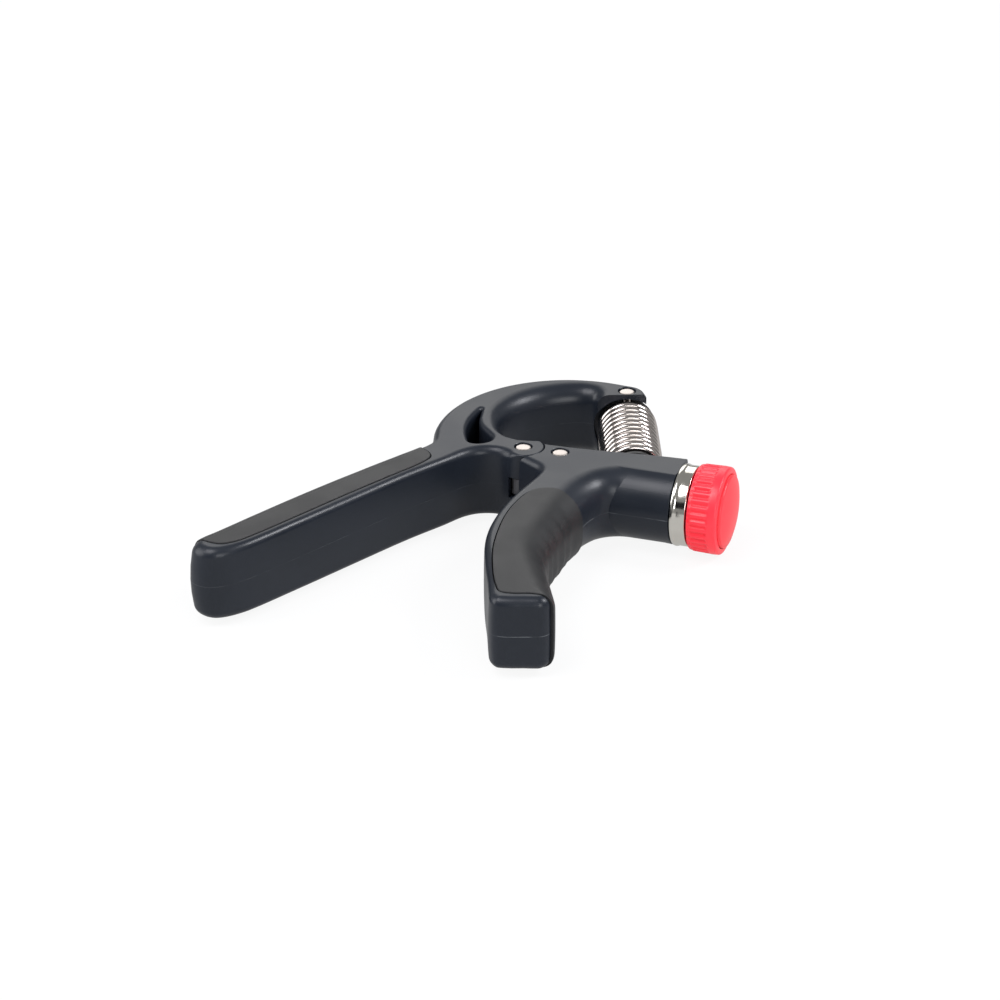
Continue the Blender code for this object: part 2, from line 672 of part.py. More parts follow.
def least_gap(points):
    best = 1.0
    for i in range(len(points) - 1):
        for j in range(i + 6, len(points) - 1):
            for share in (0.0, 0.5):
                spot = points[i].lerp(points[i + 1], share)
                line = points[j + 1] - points[j]
                along = min(max((spot - points[j]).dot(line) / line.length_squared, 0.0), 1.0)
                best = min(best, (spot - points[j] - line * along).length)
    return best - wire_diameter


coil_line = with_straight_ends(coil_centreline())
print("least gap of the coil to itself, mm:", round(least_gap(coil_line) / MM, 3))
sweep_tube("spring_coil", coil_line, wire_diameter / 2, 6, steel("coil_steel", 0.75, 0.2))
coil_last_angle = coil_angle_start + 2 * math.pi * coil_turns
wire_stop(spring_hanger, hanger_face, 1.0, coil_angle_start, -1.0)
wire_stop(spring_foot, foot_face, -1.0, coil_last_angle, 1.0)

# Slider nut that the screw moves along the channel
slider_middle = foot_pin_along
slider_low = slider_middle - slider_length / 2
slider_high = slider_middle + slider_length / 2
slider_half = channel_half - running_gap
cheek_inner = foot_eye_half + running_gap
slider_nut = box("slider_nut", in_barrel, (slider_low, slider_high), (channel_floor + running_gap, 5.0 * MM),
                 (-slider_half, slider_half), make_material("nut_plastic", (0.02, 0.02, 0.022), 0.5, 0.0))
join(slider_nut, box("horn", in_barrel, (slider_middle - 3.2 * MM, slider_middle + 3.2 * MM),
                     (4.0 * MM, foot_pin_offset), (-slider_half, slider_half)))
join(slider_nut, revolve("horn_top", [(-slider_half, 3.2 * MM), (slider_half, 3.2 * MM)], foot_place, None, 24))
cut(slider_nut, box("horn_slot", in_barrel, (slider_low - MM, slider_high + MM),
                    (foot_pin_offset - eye_radius - 0.4 * MM, 20 * MM), (-cheek_inner, cheek_inner)))
cut(slider_nut, revolve("pin_hole", [(-wide, foot_bore), (wide, foot_bore)], foot_place, None, 24))
insert_radius = 4.2 * MM
cut(slider_nut, revolve("insert_hole", [(slider_low - MM, insert_radius + bore_gap),
                                        (slider_high + MM, insert_radius + bore_gap)], in_barrel, None, 24))
washer("slider_insert", in_barrel, slider_low + 0.3 * MM, slider_length - 0.6 * MM, screw_radius + bore_gap,
       insert_radius, make_material("insert_brass", (0.6, 0.42, 0.16), 0.35, 1.0))
foot_pin_half = slider_half - 0.1 * MM
revolve("foot_pin", [(-foot_pin_half, foot_pin_radius), (foot_pin_half, foot_pin_radius)], foot_place,
        steel("foot_pin_steel"), 24)

# Adjusting screw, its bearing and the knob
groove_start = channel_end - 1.6 * MM
groove_end = groove_start + 1.0 * MM
revolve("adjusting_screw", [
    (screw_start, screw_radius - 0.6 * MM), (screw_start + 0.8 * MM, screw_radius),
    (groove_start, screw_radius), (groove_start, screw_radius - 0.5 * MM),
    (groove_end, screw_radius - 0.5 * MM), (groove_end, screw_radius),
    (screw_end, screw_radius),
], in_barrel, steel("screw_steel", 0.5), 24)
washer("retaining_clip", in_barrel, groove_start + face_gap, 0.8 * MM, screw_radius - 0.25 * MM, 4.0 * MM, steel("clip_steel", 0.4))
washer("screw_bush", in_barrel, channel_end, spigot_end - channel_end, screw_radius + bore_gap, bush_radius,
       make_material("bush_brass", (0.6, 0.42, 0.16), 0.35, 1.0))
washer("thrust_washer", in_barrel, spigot_end + 0.1 * MM, 0.45 * MM, screw_radius + bore_gap, 6.0 * MM,
       steel("thrust_steel"))
revolve("ferrule", [
    (ferrule_start, ferrule_inner), (ferrule_start, ferrule_outer - 0.5 * MM),
    (ferrule_start + 0.3 * MM, ferrule_outer - 0.1 * MM), (ferrule_start + 0.8 * MM, ferrule_outer),
    (ferrule_start + 1.3 * MM, ferrule_outer - 0.15 * MM), (ferrule_start + 1.7 * MM, ferrule_outer - 0.35 * MM),
    (ferrule_end - 0.3 * MM, ferrule_outer - 0.35 * MM), (ferrule_end, ferrule_outer - 0.6 * MM),
    (ferrule_end, ferrule_inner),
], in_barrel, steel("ferrule_nickel", 0.75, 0.15), 48, closed=True)


def fluted_knob(name, material):
    # each row is place along the axis, radius and share of the flute depth
    rows = [
        (knob_start, knob_radius - 1.55 * MM, 0.0), (knob_start + 0.4 * MM, knob_radius - 0.45 * MM, 0.0),
        (knob_start + 1.0 * MM, knob_radius - 0.25 * MM, 0.0), (knob_start + 1.4 * MM, knob_radius - 0.2 * MM, 1.0),
        (knob_end - 3.2 * MM, knob_radius - 0.1 * MM, 1.0), (knob_end - 2.7 * MM, knob_radius, 0.0),
        (knob_end - 1.0 * MM, knob_radius, 0.0), (knob_end - 0.3 * MM, knob_radius - 0.45 * MM, 0.0),
        (knob_end, knob_radius - 1.15 * MM, 0.0),
    ]
    samples = flute_count * 3
    rings = []
    for along, radius, share in rows:
        ring = []
        for i in range(samples):
            angle = 2 * math.pi * i / samples
            dip = flute_depth * share if i % 3 == 0 else 0.0
            reach = radius - dip
            ring.append(in_barrel(along, reach * math.cos(angle), reach * math.sin(angle)))
        rings.append(ring)
    return loft(name, rings, material)


knob = fluted_knob("knob", red_plastic)
cap_seat = knob_end - 1.2 * MM
cut(knob, revolve("knob_bore", [
    (knob_start - MM, screw_radius + bore_gap), (screw_end - 2.5 * MM, screw_radius + bore_gap),
    (screw_end - 2.5 * MM, 5.6 * MM), (cap_seat, 5.6 * MM), (cap_seat, cap_radius + 0.2 * MM),
    (knob_end + MM, cap_radius + 0.2 * MM),
], in_barrel, None, 48))
revolve("knob_cap", [
    (cap_seat + 0.1 * MM, cap_radius), (knob_end + 0.6 * MM, cap_radius), (knob_end + 1.5 * MM, cap_radius - 0.9 * MM),
    (knob_end + 2.1 * MM, 7.0 * MM), (knob_end + 2.3 * MM, 3.0 * MM),
], in_barrel, red_cap, 48)
knob_nut = revolve("knob_nut", [(screw_end - 2.3 * MM, 4.6 * MM), (screw_end + 0.4 * MM, 4.6 * MM)],
                   in_barrel, steel("knob_nut_steel"), 6)
cut(knob_nut, revolve("nut_hole", [(screw_end - 4 * MM, screw_radius + bore_gap),
                                   (screw_end + 2 * MM, screw_radius + bore_gap)], in_barrel, None, 24))

# Everything is shifted so that the middle of its underside lies at the origin
bpy.context.view_layer.update()
solids = [item for item in bpy.data.objects if item.type == "MESH"]
lows = [min(v.co[k] for item in solids for v in item.data.vertices) for k in range(3)]
highs = [max(v.co[k] for item in solids for v in item.data.vertices) for k in range(3)]
shift = Vector((-(lows[0] + highs[0]) / 2, -(lows[1] + highs[1]) / 2, -lows[2]))
# Moving solids carry their origin on the axis they turn about
pivots = {
    "finger_lever": Vector((0, 0, 0)), "finger_grip": Vector((0, 0, 0)), "hinge_tongue": Vector((0, 0, 0)),
    "spring_hanger": spring_origin, "spring_pin": spring_origin, "spring_coil": spring_origin,
    "spring_foot": foot_pin_place, "foot_pin": foot_pin_place, "slider_nut": foot_pin_place,
    "knob": in_barrel(knob_start, 0, 0), "knob_cap": in_barrel(knob_start, 0, 0),
    "adjusting_screw": in_barrel(knob_start, 0, 0), "knob_nut": in_barrel(knob_start, 0, 0),
    "retaining_clip": in_barrel(knob_start, 0, 0),
}
for item in solids:
    pivot = pivots.get(item.name, Vector((0, 0, 0)))
    for vertex in item.data.vertices:
        vertex.co -= pivot
    item.location = pivot + shift

total = 0
for item in sorted(solids, key=lambda s: s.name):
    item.data.calc_loop_triangles()
    total += len(item.data.loop_triangles)
    print(item.name, len(item.data.loop_triangles))
print("triangles", total)
print("size mm", [round((h - l) / MM, 2) for l, h in zip(lows, highs)])
for label, spot in (
    ("hinge", Vector((0, 0, 0))), ("spring pin", spring_origin), ("foot pin", foot_pin_place),
    ("knob", in_barrel(knob_start, 0, 0)), ("barrel way", None),
):
    if spot is None:
        print(label, [round(c, 6) for c in barrel_dir], "spring way", [round(c, 6) for c in spring_dir])
    else:
        print(label, [round(c, 6) for c in spot + shift])
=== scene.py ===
import math
import bpy
import bmesh
from mathutils import Matrix, Vector


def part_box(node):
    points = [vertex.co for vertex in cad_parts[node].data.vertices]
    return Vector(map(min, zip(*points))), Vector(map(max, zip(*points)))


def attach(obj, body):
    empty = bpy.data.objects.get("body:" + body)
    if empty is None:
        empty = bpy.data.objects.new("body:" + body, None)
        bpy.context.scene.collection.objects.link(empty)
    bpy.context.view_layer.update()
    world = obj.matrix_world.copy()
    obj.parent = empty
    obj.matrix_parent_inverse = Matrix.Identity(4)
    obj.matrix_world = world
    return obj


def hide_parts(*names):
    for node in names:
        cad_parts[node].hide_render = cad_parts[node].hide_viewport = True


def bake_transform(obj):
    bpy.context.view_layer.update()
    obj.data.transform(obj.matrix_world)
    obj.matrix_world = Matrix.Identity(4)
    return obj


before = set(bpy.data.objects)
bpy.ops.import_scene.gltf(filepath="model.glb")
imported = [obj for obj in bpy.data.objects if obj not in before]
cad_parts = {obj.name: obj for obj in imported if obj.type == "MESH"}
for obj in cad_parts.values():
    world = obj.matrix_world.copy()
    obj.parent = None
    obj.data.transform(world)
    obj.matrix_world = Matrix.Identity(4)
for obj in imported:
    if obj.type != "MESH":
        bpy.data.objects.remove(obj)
mm = 0.001


def centreOf(node):
    nodeLow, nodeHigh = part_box(node)
    return Vector([(a + b) / 2 for a, b in zip(nodeLow, nodeHigh)])


hinge = centreOf("hinge_pin")

# Camera, fitted to the photograph by the outer arc of the C-shaped arm
cameraSettings = {
    "aimFromHinge": Vector((4.68, -13.22, 0.0)) * mm,
    "distance": 1131.4 * mm,
    "azimuth": -42.0,
    "elevation": 27.0,
    "lens": 142.56,
    "sensor": 36.0,
    "clip": (0.05, 30.0),
}


# The way from the object towards a viewer
def viewWay(azimuth, elevation):
    turn, rise = math.radians(azimuth), math.radians(elevation)
    level = math.cos(rise)
    return Vector((level * math.cos(turn), level * math.sin(turn), math.sin(rise)))


def makeCamera(s):
    data = bpy.data.cameras.new("photoCamera")
    data.lens = s["lens"]
    data.sensor_width = s["sensor"]
    data.clip_start, data.clip_end = s["clip"]
    camera = bpy.data.objects.new("photoCamera", data)
    bpy.context.scene.collection.objects.link(camera)
    away = viewWay(s["azimuth"], s["elevation"])
    camera.location = hinge + s["aimFromHinge"] + away * s["distance"]
    camera.rotation_euler = (-away).to_track_quat("-Z", "Y").to_euler()
    bpy.context.scene.camera = camera


makeCamera(cameraSettings)
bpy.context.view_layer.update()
print("frame loaded, camera set")


# A socket that adds and multiplies in plain expressions, and a net that makes any other node in one call
class Sock:
    def __init__(self, net, socket):
        self.net = net
        self.socket = socket

    def maths(self, operation, *others):
        return self.net.node("ShaderNodeMath", {"operation": operation}, self, *others)

    def __add__(self, other):
        return self.maths("ADD", other)

    def __radd__(self, other):
        return self.maths("ADD", other)

    def __sub__(self, other):
        return self.maths("SUBTRACT", other)

    def __rsub__(self, other):
        return self.net.node("ShaderNodeMath", {"operation": "SUBTRACT"}, other, self)

    def __mul__(self, other):
        return self.maths("MULTIPLY", other)

    def __rmul__(self, other):
        return self.maths("MULTIPLY", other)

    def __truediv__(self, other):
        return self.maths("DIVIDE", other)

    def __rtruediv__(self, other):
        return self.net.node("ShaderNodeMath", {"operation": "DIVIDE"}, other, self)


class Net:
    def __init__(self, tree):
        self.tree = tree
        tree.nodes.clear()

    def plug(self, value, target):
        if isinstance(value, Sock):
            self.tree.links.new(value.socket, target)
        elif hasattr(target.default_value, "__len__") and not hasattr(value, "__len__"):
            target.default_value = [value] * len(target.default_value)
        elif hasattr(value, "__len__") and len(target.default_value) == 4 and len(value) == 3:
            target.default_value = (*value, 1.0)
        else:
            target.default_value = value

    def node(self, kind, settings, *ordered, out=0, **named):
        made = self.tree.nodes.new(kind)
        for key, value in settings.items():
            setattr(made, key, value)
        for value, target in zip(ordered, made.inputs):
            if value is not None:
                self.plug(value, target)
        for key, value in named.items():
            self.plug(value, made.inputs[key.replace("_", " ")])
        return Sock(self, made.outputs[out])

    def ramp(self, value, low, high, toLow=0.0, toHigh=1.0):
        smoothly = {"interpolation_type": "SMOOTHSTEP"}
        return self.node("ShaderNodeMapRange", smoothly, value, low, high, toLow, toHigh)

    def noise(self, place, scale, detail=3.0):
        return self.node("ShaderNodeTexNoise", {}, Vector=place, Scale=scale, Detail=detail, Roughness=0.5)

    def blendColour(self, factor, first, second):
        return self.node("ShaderNodeMix", {"data_type": "RGBA"}, factor, *[None] * 5, first, second, out=2)

    def vector(self, operation, *values, out=0):
        return self.node("ShaderNodeVectorMath", {"operation": operation}, *values, out=out)

    def scaled(self, vector, amount):
        return self.vector("SCALE", vector, None, None, amount)

    def place(self):
        return self.node("ShaderNodeTexCoord", {}, out="Object")

    def split(self, vector, axis):
        return self.node("ShaderNodeSeparateXYZ", {}, vector, out=axis)

    def bump(self, height, strength, distance, under=None):
        below = {"Normal": under} if under else {}
        return self.node("ShaderNodeBump", {}, Strength=strength, Distance=distance, Height=height, **below)

    def send(self, result, kind):
        self.plug(result, self.tree.nodes.new(kind).inputs[0])

    def finish(self, **inputs):
        self.send(self.node("ShaderNodeBsdfPrincipled", {}, **inputs), "ShaderNodeOutputMaterial")


def newMaterial(name):
    material = bpy.data.materials.new(name)
    material.use_nodes = True
    return material, Net(material.node_tree)


# Moulded plastic with a fine spark grain, and where it is asked for a broken parting line at mid-height: its
# bump is the real raised line, its lighter colour a painted highlight
def satinPlastic(name, s):
    material, net = newMaterial(name)
    place = net.place()
    grain = net.noise(place, s["grainScale"], detail=2.0)
    cloud = net.noise(place, s["cloudScale"])
    colour = net.blendColour(net.ramp(cloud, *s["colourCloud"]), s["dark"], s["light"])
    rough = s["roughness"] * net.ramp(cloud, *s["roughCloud"], *s["roughRange"])
    height = net.bump(grain, s["grainStrength"], s["grainDepth"])
    if s["partingWidth"]:
        level = (net.split(place, 2) - hinge.z).maths("ABSOLUTE")
        broken = net.noise(place, s["breakScale"], detail=2.0)
        line = net.ramp(level, s["partingWidth"] * s["partingCore"], s["partingWidth"], 1.0, 0.0)
        seen = line * net.ramp(broken, *s["breakCloud"], s["breakLeast"], 1.0)
        # Painted highlight: the parting line is made lighter in colour, standing for the light that the
        # raised line catches
        colour = net.blendColour(seen * s["partingHighlightShow"], colour, s["partingHighlightColour"])
        height = net.bump(seen, s["partingBump"], s["partingDepth"], height)
    net.finish(Base_Color=colour, Roughness=rough, Normal=height, Specular_IOR_Level=s["specular"])
    return material


bodySettings = {
    "dark": (0.0095, 0.0125, 0.0185), "light": (0.0120, 0.0152, 0.0222),
    "cloudScale": 60.0, "colourCloud": (0.3, 0.7), "roughCloud": (0.35, 0.65),
    "roughness": 0.34, "roughRange": (0.92, 1.08), "specular": 0.36,
    "grainScale": 2600.0, "grainStrength": 0.22, "grainDepth": 0.00004,
    # The parting line's light colour and how strongly it shows are a painted highlight
    "partingWidth": 0.00016, "partingCore": 0.35, "partingHighlightShow": 0.55, "partingHighlightColour": (0.16, 0.17, 0.18),
    "partingBump": 0.5, "partingDepth": 0.00006,
    "breakScale": 140.0, "breakCloud": (0.40, 0.58), "breakLeast": 0.15,
}
seamless = {**bodySettings, "partingWidth": 0.0}
gripSettings = {
    **seamless,
    "dark": (0.0190, 0.0195, 0.0205), "light": (0.0240, 0.0243, 0.0250), "cloudScale": 80.0,
    "roughness": 0.48, "specular": 0.30,
    "grainScale": 3200.0, "grainStrength": 0.35, "grainDepth": 0.00005,
}
innerSettings = {**seamless, "dark": (0.008, 0.008, 0.009), "light": (0.011, 0.011, 0.012), "roughness": 0.35}
redSettings = {
    **seamless,
    "dark": (0.90, 0.022, 0.040), "light": (0.95, 0.028, 0.048), "specular": 0.5, "grainStrength": 0.12,
}
# Painted shade: the cap's red is a darker copy of the knob's red, so that the cap, which catches more of the
# lamps' light, reads no lighter than the knob
shadedCapRedSettings = {
    **redSettings,
    "dark": (0.84, 0.022, 0.036), "light": (0.90, 0.028, 0.043), "roughness": 0.36,
}
# The palm handle gets only a faint painted highlight on its parting line
palmPlastic = satinPlastic("palmPlastic", {**bodySettings, "partingHighlightShow": 0.10})
bodyPlastic = satinPlastic("bodyPlastic", bodySettings)
gripSoft = satinPlastic("gripSoft", gripSettings)
innerPlastic = satinPlastic("innerPlastic", innerSettings)
redPlastic = satinPlastic("redPlastic", redSettings)
shadedCapRed = satinPlastic("shadedCapRed", shadedCapRedSettings)


# Polished or plain metal, faintly smeared
def brightMetal(name, s):
    material, net = newMaterial(name)
    smear = net.noise(net.place(), s["smearScale"])
    least, most = s["roughRange"]
    rough = net.ramp(smear, *s["smearCloud"], s["roughness"] * least, s["roughness"] * most)
    colour = net.blendColour(smear, s["tint"], s["tintLight"])
    height = net.bump(smear, s["bump"], s["bumpDepth"])
    net.finish(Base_Color=colour, Metallic=1.0, Roughness=rough, Normal=height)
    return material


# Partly nickel's own warm grey, partly painted reflection: the colour is darkened and warmed for the dark
# handles and floor that the coil and pins reflect
nickelSettings = {
    "tint": (0.54, 0.49, 0.46), "tintLight": (0.62, 0.57, 0.54),
    "roughness": 0.16, "roughRange": (0.8, 1.25),
    "smearScale": 260.0, "smearCloud": (0.3, 0.7), "bump": 0.08, "bumpDepth": 0.00003,
}


def tintedMetal(name, tint, tintLight, roughness):
    return brightMetal(name, {**nickelSettings, "tint": tint, "tintLight": tintLight, "roughness": roughness})


nickel = brightMetal("nickel", nickelSettings)
ferruleNickel = tintedMetal("ferruleNickel", (0.70, 0.68, 0.62), (0.78, 0.76, 0.70), 0.12)
pinNickel = brightMetal("pinNickel", {**nickelSettings, "roughness": 0.26})
steelGrey = tintedMetal("steelGrey", (0.42, 0.41, 0.40), (0.5, 0.49, 0.47), 0.32)
darkSteel = tintedMetal("darkSteel", (0.10, 0.10, 0.11), (0.14, 0.14, 0.15), 0.42)
brass = tintedMetal("brass", (0.62, 0.43, 0.17), (0.7, 0.5, 0.22), 0.3)
print("materials made")

# The look of each solid, also of those that a finer piece replaces
looks = {
    "palm_handle": bodyPlastic, "finger_lever": bodyPlastic, "palm_grip": gripSoft, "finger_grip": gripSoft,
    "hinge_tongue": darkSteel, "hinge_washer_top": darkSteel, "hinge_washer_bottom": darkSteel,
    "hinge_pin": pinNickel, "tongue_rivet": pinNickel, "spring_pin": pinNickel,
    "spring_hanger": innerPlastic, "spring_foot": innerPlastic, "spring_coil": nickel,
    "foot_pin": steelGrey, "slider_nut": innerPlastic, "slider_insert": brass, "adjusting_screw": steelGrey,
    "retaining_clip": steelGrey, "screw_bush": brass, "thrust_washer": steelGrey, "ferrule": ferruleNickel,
    "knob": redPlastic, "knob_cap": shadedCapRed, "knob_nut": steelGrey,
}
for node, material in looks.items():
    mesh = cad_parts[node].data
    mesh.materials.clear()
    mesh.materials.append(material)


# Ways in the plan, by their degrees from the x axis, and places in millimetres from the hinge
barrelTurn = 29.5
springTurn = -40.0


def way(degrees):
    return Vector((math.cos(math.radians(degrees)), math.sin(math.radians(degrees)), 0.0))


barrelWay, barrelSide = way(barrelTurn), way(barrelTurn + 90.0)
springWay, springSide = way(springTurn), way(springTurn + 90.0)
hingeSpot = Vector((0.0, 0.0, 0.0))
springPin = (centreOf("spring_pin") - hinge) / mm
footPin = (centreOf("foot_pin") - hinge) / mm
rivet = (centreOf("tongue_rivet") - hinge) / mm


# The place of (along, side, height) by the barrel's axis, the spring's axis or an upright pin's
def inBarrel(along, side, height):
    return barrelWay * along + barrelSide * side + Vector((0.0, 0.0, height))


def inSpring(along, side, height, turned=0.0):
    ahead, aside = way(springTurn + turned), way(springTurn + 90.0 + turned)
    return springPin + ahead * along + aside * side + Vector((0.0, 0.0, height))


def upright(spot):
    return lambda height, a, b: Vector((spot.x + a, spot.y + b, height))


# Mesh makers
weldGap = 0.0005  # points of a new mesh that are nearer than this become one
sliverGap = 0.001  # the same after a cut, which can leave slivers
through = (-40.0, 40.0)  # a reach that passes right through the object
largeFaceWeight = 60  # how far large faces lead the shading of the small ones beside them


def across(reach):
    return (-reach, reach)


def meshOf(name, bm):
    bmesh.ops.remove_doubles(bm, verts=bm.verts, dist=weldGap)
    bmesh.ops.recalc_face_normals(bm, faces=bm.faces)
    mesh = bpy.data.meshes.new(name)
    bm.to_mesh(mesh)
    bm.free()
    piece = bpy.data.objects.new(name, mesh)
    bpy.context.scene.collection.objects.link(piece)
    return piece


def loft(name, rings, closed=False):
    bm = bmesh.new()
    rows = [[bm.verts.new(point) for point in ring] for ring in rings]
    count = len(rows[0])
    pairs = list(zip(rows, rows[1:]))
    if closed:
        pairs.append((rows[-1], rows[0]))
    for first, second in pairs:
        for i in range(count):
            j = (i + 1) % count
            bm.faces.new((first[i], first[j], second[j], second[i]))
    if not closed:
        bm.faces.new(rows[0])
        bm.faces.new(rows[-1])
    return meshOf(name, bm)


def lathe(name, profile, place, steps=96, closed=False):
    turns = [2 * math.pi * i / steps for i in range(steps)]
    rings = []
    for along, radius in profile:
        rings.append([place(along, radius * math.cos(t), radius * math.sin(t)) for t in turns])
    return loft(name, rings, closed)


# A plain round bar, or the cutter of a round hole
def rod(name, ends, radius, place, steps=48):
    return lathe(name, [(end, radius) for end in ends], place, steps)


def block(name, place, along, side, height):
    (back, front), (near, far) = along, side
    corners = ((back, near), (front, near), (front, far), (back, far))
    return loft(name, [[place(a, b, z) for a, b in corners] for z in height])


def mirrored(profile):
    return [(-along, radius) for along, radius in reversed(profile)] + profile


# Lathe points given by their steps from a place along the axis and a radius
def offsets(steps, along, radius):
    return [(along + ahead, radius + out) for ahead, out in steps]


# Lathe points on a rounded corner between two straight runs
def rounded(corner, before, after, radius, steps=5):
    corner, before, after = Vector(corner), Vector(before), Vector(after)
    inWay = (before - corner).normalized()
    outWay = (after - corner).normalized()
    points = []
    for i in range(steps + 1):
        t = i / steps
        start = corner + inWay * radius * (1 - t)
        end = corner + outWay * radius * t
        points.append(tuple(start * (1 - t) + end * t))
    return points


def softProfile(points, radii):
    result = []
    for i, (point, radius) in enumerate(zip(points, radii)):
        if radius and 0 < i < len(points) - 1:
            result += rounded(point, points[i - 1], points[i + 1], radius)
        else:
            result.append(point)
    return result


def settle(piece):
    graph = bpy.context.evaluated_depsgraph_get()
    graph.update()
    result = bpy.data.meshes.new_from_object(piece.evaluated_get(graph))
    result.name = piece.name
    piece.modifiers.clear()
    piece.data = result


def combine(target, tool, operation):
    step = target.modifiers.new("combine", "BOOLEAN")
    step.operation = operation
    step.solver = "EXACT"
    step.object = tool
    settle(target)
    bm = bmesh.new()
    bm.from_mesh(target.data)
    bmesh.ops.remove_doubles(bm, verts=bm.verts, dist=sliverGap)
    bmesh.ops.dissolve_degenerate(bm, edges=bm.edges, dist=sliverGap)
    bm.to_mesh(target.data)
    bm.free()
    bpy.data.objects.remove(tool, do_unlink=True)
    return target


def cutAway(target, tool):
    return combine(target, tool, "DIFFERENCE")


def joinOn(target, tool):
    return combine(target, tool, "UNION")


def keepInside(target, tool):
    return combine(target, tool, "INTERSECT")


# Puts a finished piece in its place: millimetres from the hinge become metres in the shared frame
def finishPiece(piece, node, body, material, sharp=33.0, weighted=True, ride=True):
    mesh = piece.data
    mesh.transform(Matrix.Translation(hinge) @ Matrix.Scale(mm, 4))
    mesh.materials.clear()
    mesh.materials.append(material)
    for face in mesh.polygons:
        face.material_index = 0
        face.use_smooth = True
    mesh.set_sharp_from_angle(angle=math.radians(sharp))
    if weighted:
        step = piece.modifiers.new("weighted", "WEIGHTED_NORMAL")
        step.keep_sharp = True
        step.weight = largeFaceWeight
        settle(piece)
    if ride:
        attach(piece, body)
    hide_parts(node)
    print(piece.name, len(piece.data.polygons), "faces")


# Outlines: knots are (x, y, edge radius, lean), joined by a smooth closed curve
commonLean = 0.25


def arcKnots(x, y, radius, start, end, edgeStart, edgeEnd, count):
    knots = []
    for i in range(count + 1):
        share = i / count
        angle = math.radians(start + (end - start) * share)
        edge = edgeStart + (edgeEnd - edgeStart) * share
        knots.append((x + radius * math.cos(angle), y + radius * math.sin(angle), edge))
    return knots


def uprightWalls(knots):
    return [(*knot, 0.0) for knot in knots]


# A curve's step between two knots, and the point at t between two others
def stride(first, second):
    return max((second.xy - first.xy).length, 0.0001) ** 0.5


def between(first, second, t, start, end):
    return first * ((end - t) / (end - start)) + second * ((t - start) / (end - start))


def smoothOutline(knots, turnStep=4.0, longest=2.0):
    points = [Vector(knot if len(knot) == 4 else (*knot, commonLean)) for knot in knots]
    count = len(points)
    result = []
    for i in range(count):
        p0, p1, p2, p3 = points[i - 1], points[i], points[(i + 1) % count], points[(i + 2) % count]
        t1 = stride(p0, p1)
        t2 = t1 + stride(p1, p2)
        t3 = t2 + stride(p2, p3)
        turn = (p1.xy - p0.xy).angle(p2.xy - p1.xy) + (p2.xy - p1.xy).angle(p3.xy - p2.xy)
        parts = math.ceil(math.degrees(turn) / 2 / turnStep)
        parts = max(parts, math.ceil((p2.xy - p1.xy).length / longest), 1)
        for k in range(parts):
            share = k / parts
            t = t1 + (t2 - t1) * k / parts
            a1 = between(p0, p1, t, 0.0, t1)
            a2 = between(p1, p2, t, t1, t2)
            a3 = between(p2, p3, t, t2, t3)
            b1 = between(a1, a2, t, 0.0, t2)
            b2 = between(a2, a3, t, t1, t3)
            point = between(b1, b2, t, t1, t2)
            edge, lean = p1.z + (p2.z - p1.z) * share, p1.w + (p2.w - p1.w) * share
            result.append((point.x, point.y, edge, lean))
    return result


def outwardNormals(outline):
    normals = []
    count = len(outline)
    for i in range(count):
        before = Vector(outline[i - 1][:2])
        here = Vector(outline[i][:2])
        after = Vector(outline[(i + 1) % count][:2])
        ahead = ((here - before).normalized() + (after - here).normalized()).normalized()
        normals.append(Vector((ahead.y, -ahead.x)))
    return normals


# A body with rounded edges whose radius varies along its outline.
# Ripple gives an extra inset for a place on it.
def pillow(name, outline, halfHeight, grow=0.0, steps=9, walls=3, leastEdge=0.25, ripple=None):
    normals = outwardNormals(outline)
    levels = [(-1.0, 90.0 * k / steps) for k in range(steps, -1, -1)]
    levels += [(2.0 * k / (walls + 1) - 1.0, 0.0) for k in range(1, walls + 1)]
    levels += [(1.0, 90.0 * k / steps) for k in range(steps + 1)]
    rings = []
    for side, degrees in levels:
        angle = math.radians(degrees)
        ring = []
        for i, ((x, y, edge, lean), normal) in enumerate(zip(outline, normals)):
            radius = max(edge + grow, leastEdge)
            height = side * (halfHeight - radius * (1 - math.sin(angle)))
            inset = radius * (1 - math.cos(angle)) - grow + lean * (height / halfHeight) ** 2
            if ripple:
                inset += ripple(i, degrees)
            ring.append(Vector((x - normal.x * inset, y - normal.y * inset, height)))
        rings.append(ring)
    return loft(name, rings)


# A through cutter that flares at both faces, so that the hole has rounded edges
def flaredCutter(name, outline, halfHeight, steps=7):
    normals = outwardNormals(outline)
    turns = [(-1.0, steps, 1.0)] + [(-1.0, k, 0.0) for k in range(steps, -1, -1)]
    turns += [(1.0, k, 0.0) for k in range(steps + 1)] + [(1.0, steps, 1.0)]
    rings = []
    for side, turn, extra in turns:
        angle = math.pi / 2 * turn / steps
        ring = []
        for (x, y, edge, lean), normal in zip(outline, normals):
            flare = edge * (1 - math.cos(angle))
            height = halfHeight - edge * (1 - math.sin(angle)) + extra
            ring.append(Vector((x + normal.x * flare, y + normal.y * flare, side * height)))
        rings.append(ring)
    return loft(name, rings)


def prism(name, points, bottom, top):
    return loft(name, [[Vector((x, y, z)) for x, y in points] for z in (bottom, top)])


def isClockwise(points):
    area = 0.0
    for (x0, y0), (x1, y1) in zip(points[-1:] + points, points):
        area += x0 * y1 - x1 * y0
    return area < 0


# The stretch of an outline below a sloping line of the plan, closed straight across
def handlePart(outline, level, slope, endGap=3.5, endEdge=0.4):
    count = len(outline)
    heights = [y - slope * x for x, y, edge, lean in outline]
    stretches = []
    for start in [i for i in range(count) if heights[i - 1] >= level > heights[i]]:
        stretch = []
        i = start
        while heights[i % count] < level:
            stretch.append(outline[i % count])
            i += 1
        stretches.append(stretch)
    longest = max(stretches, key=len)
    first, last = Vector(longest[0][:2]), Vector(longest[-1][:2])
    clear = [p for p in longest if min((Vector(p[:2]) - end).length for end in (first, last)) > endGap]
    return [(*first, endEdge, 0.0)] + clear + [(*last, endEdge, 0.0)]


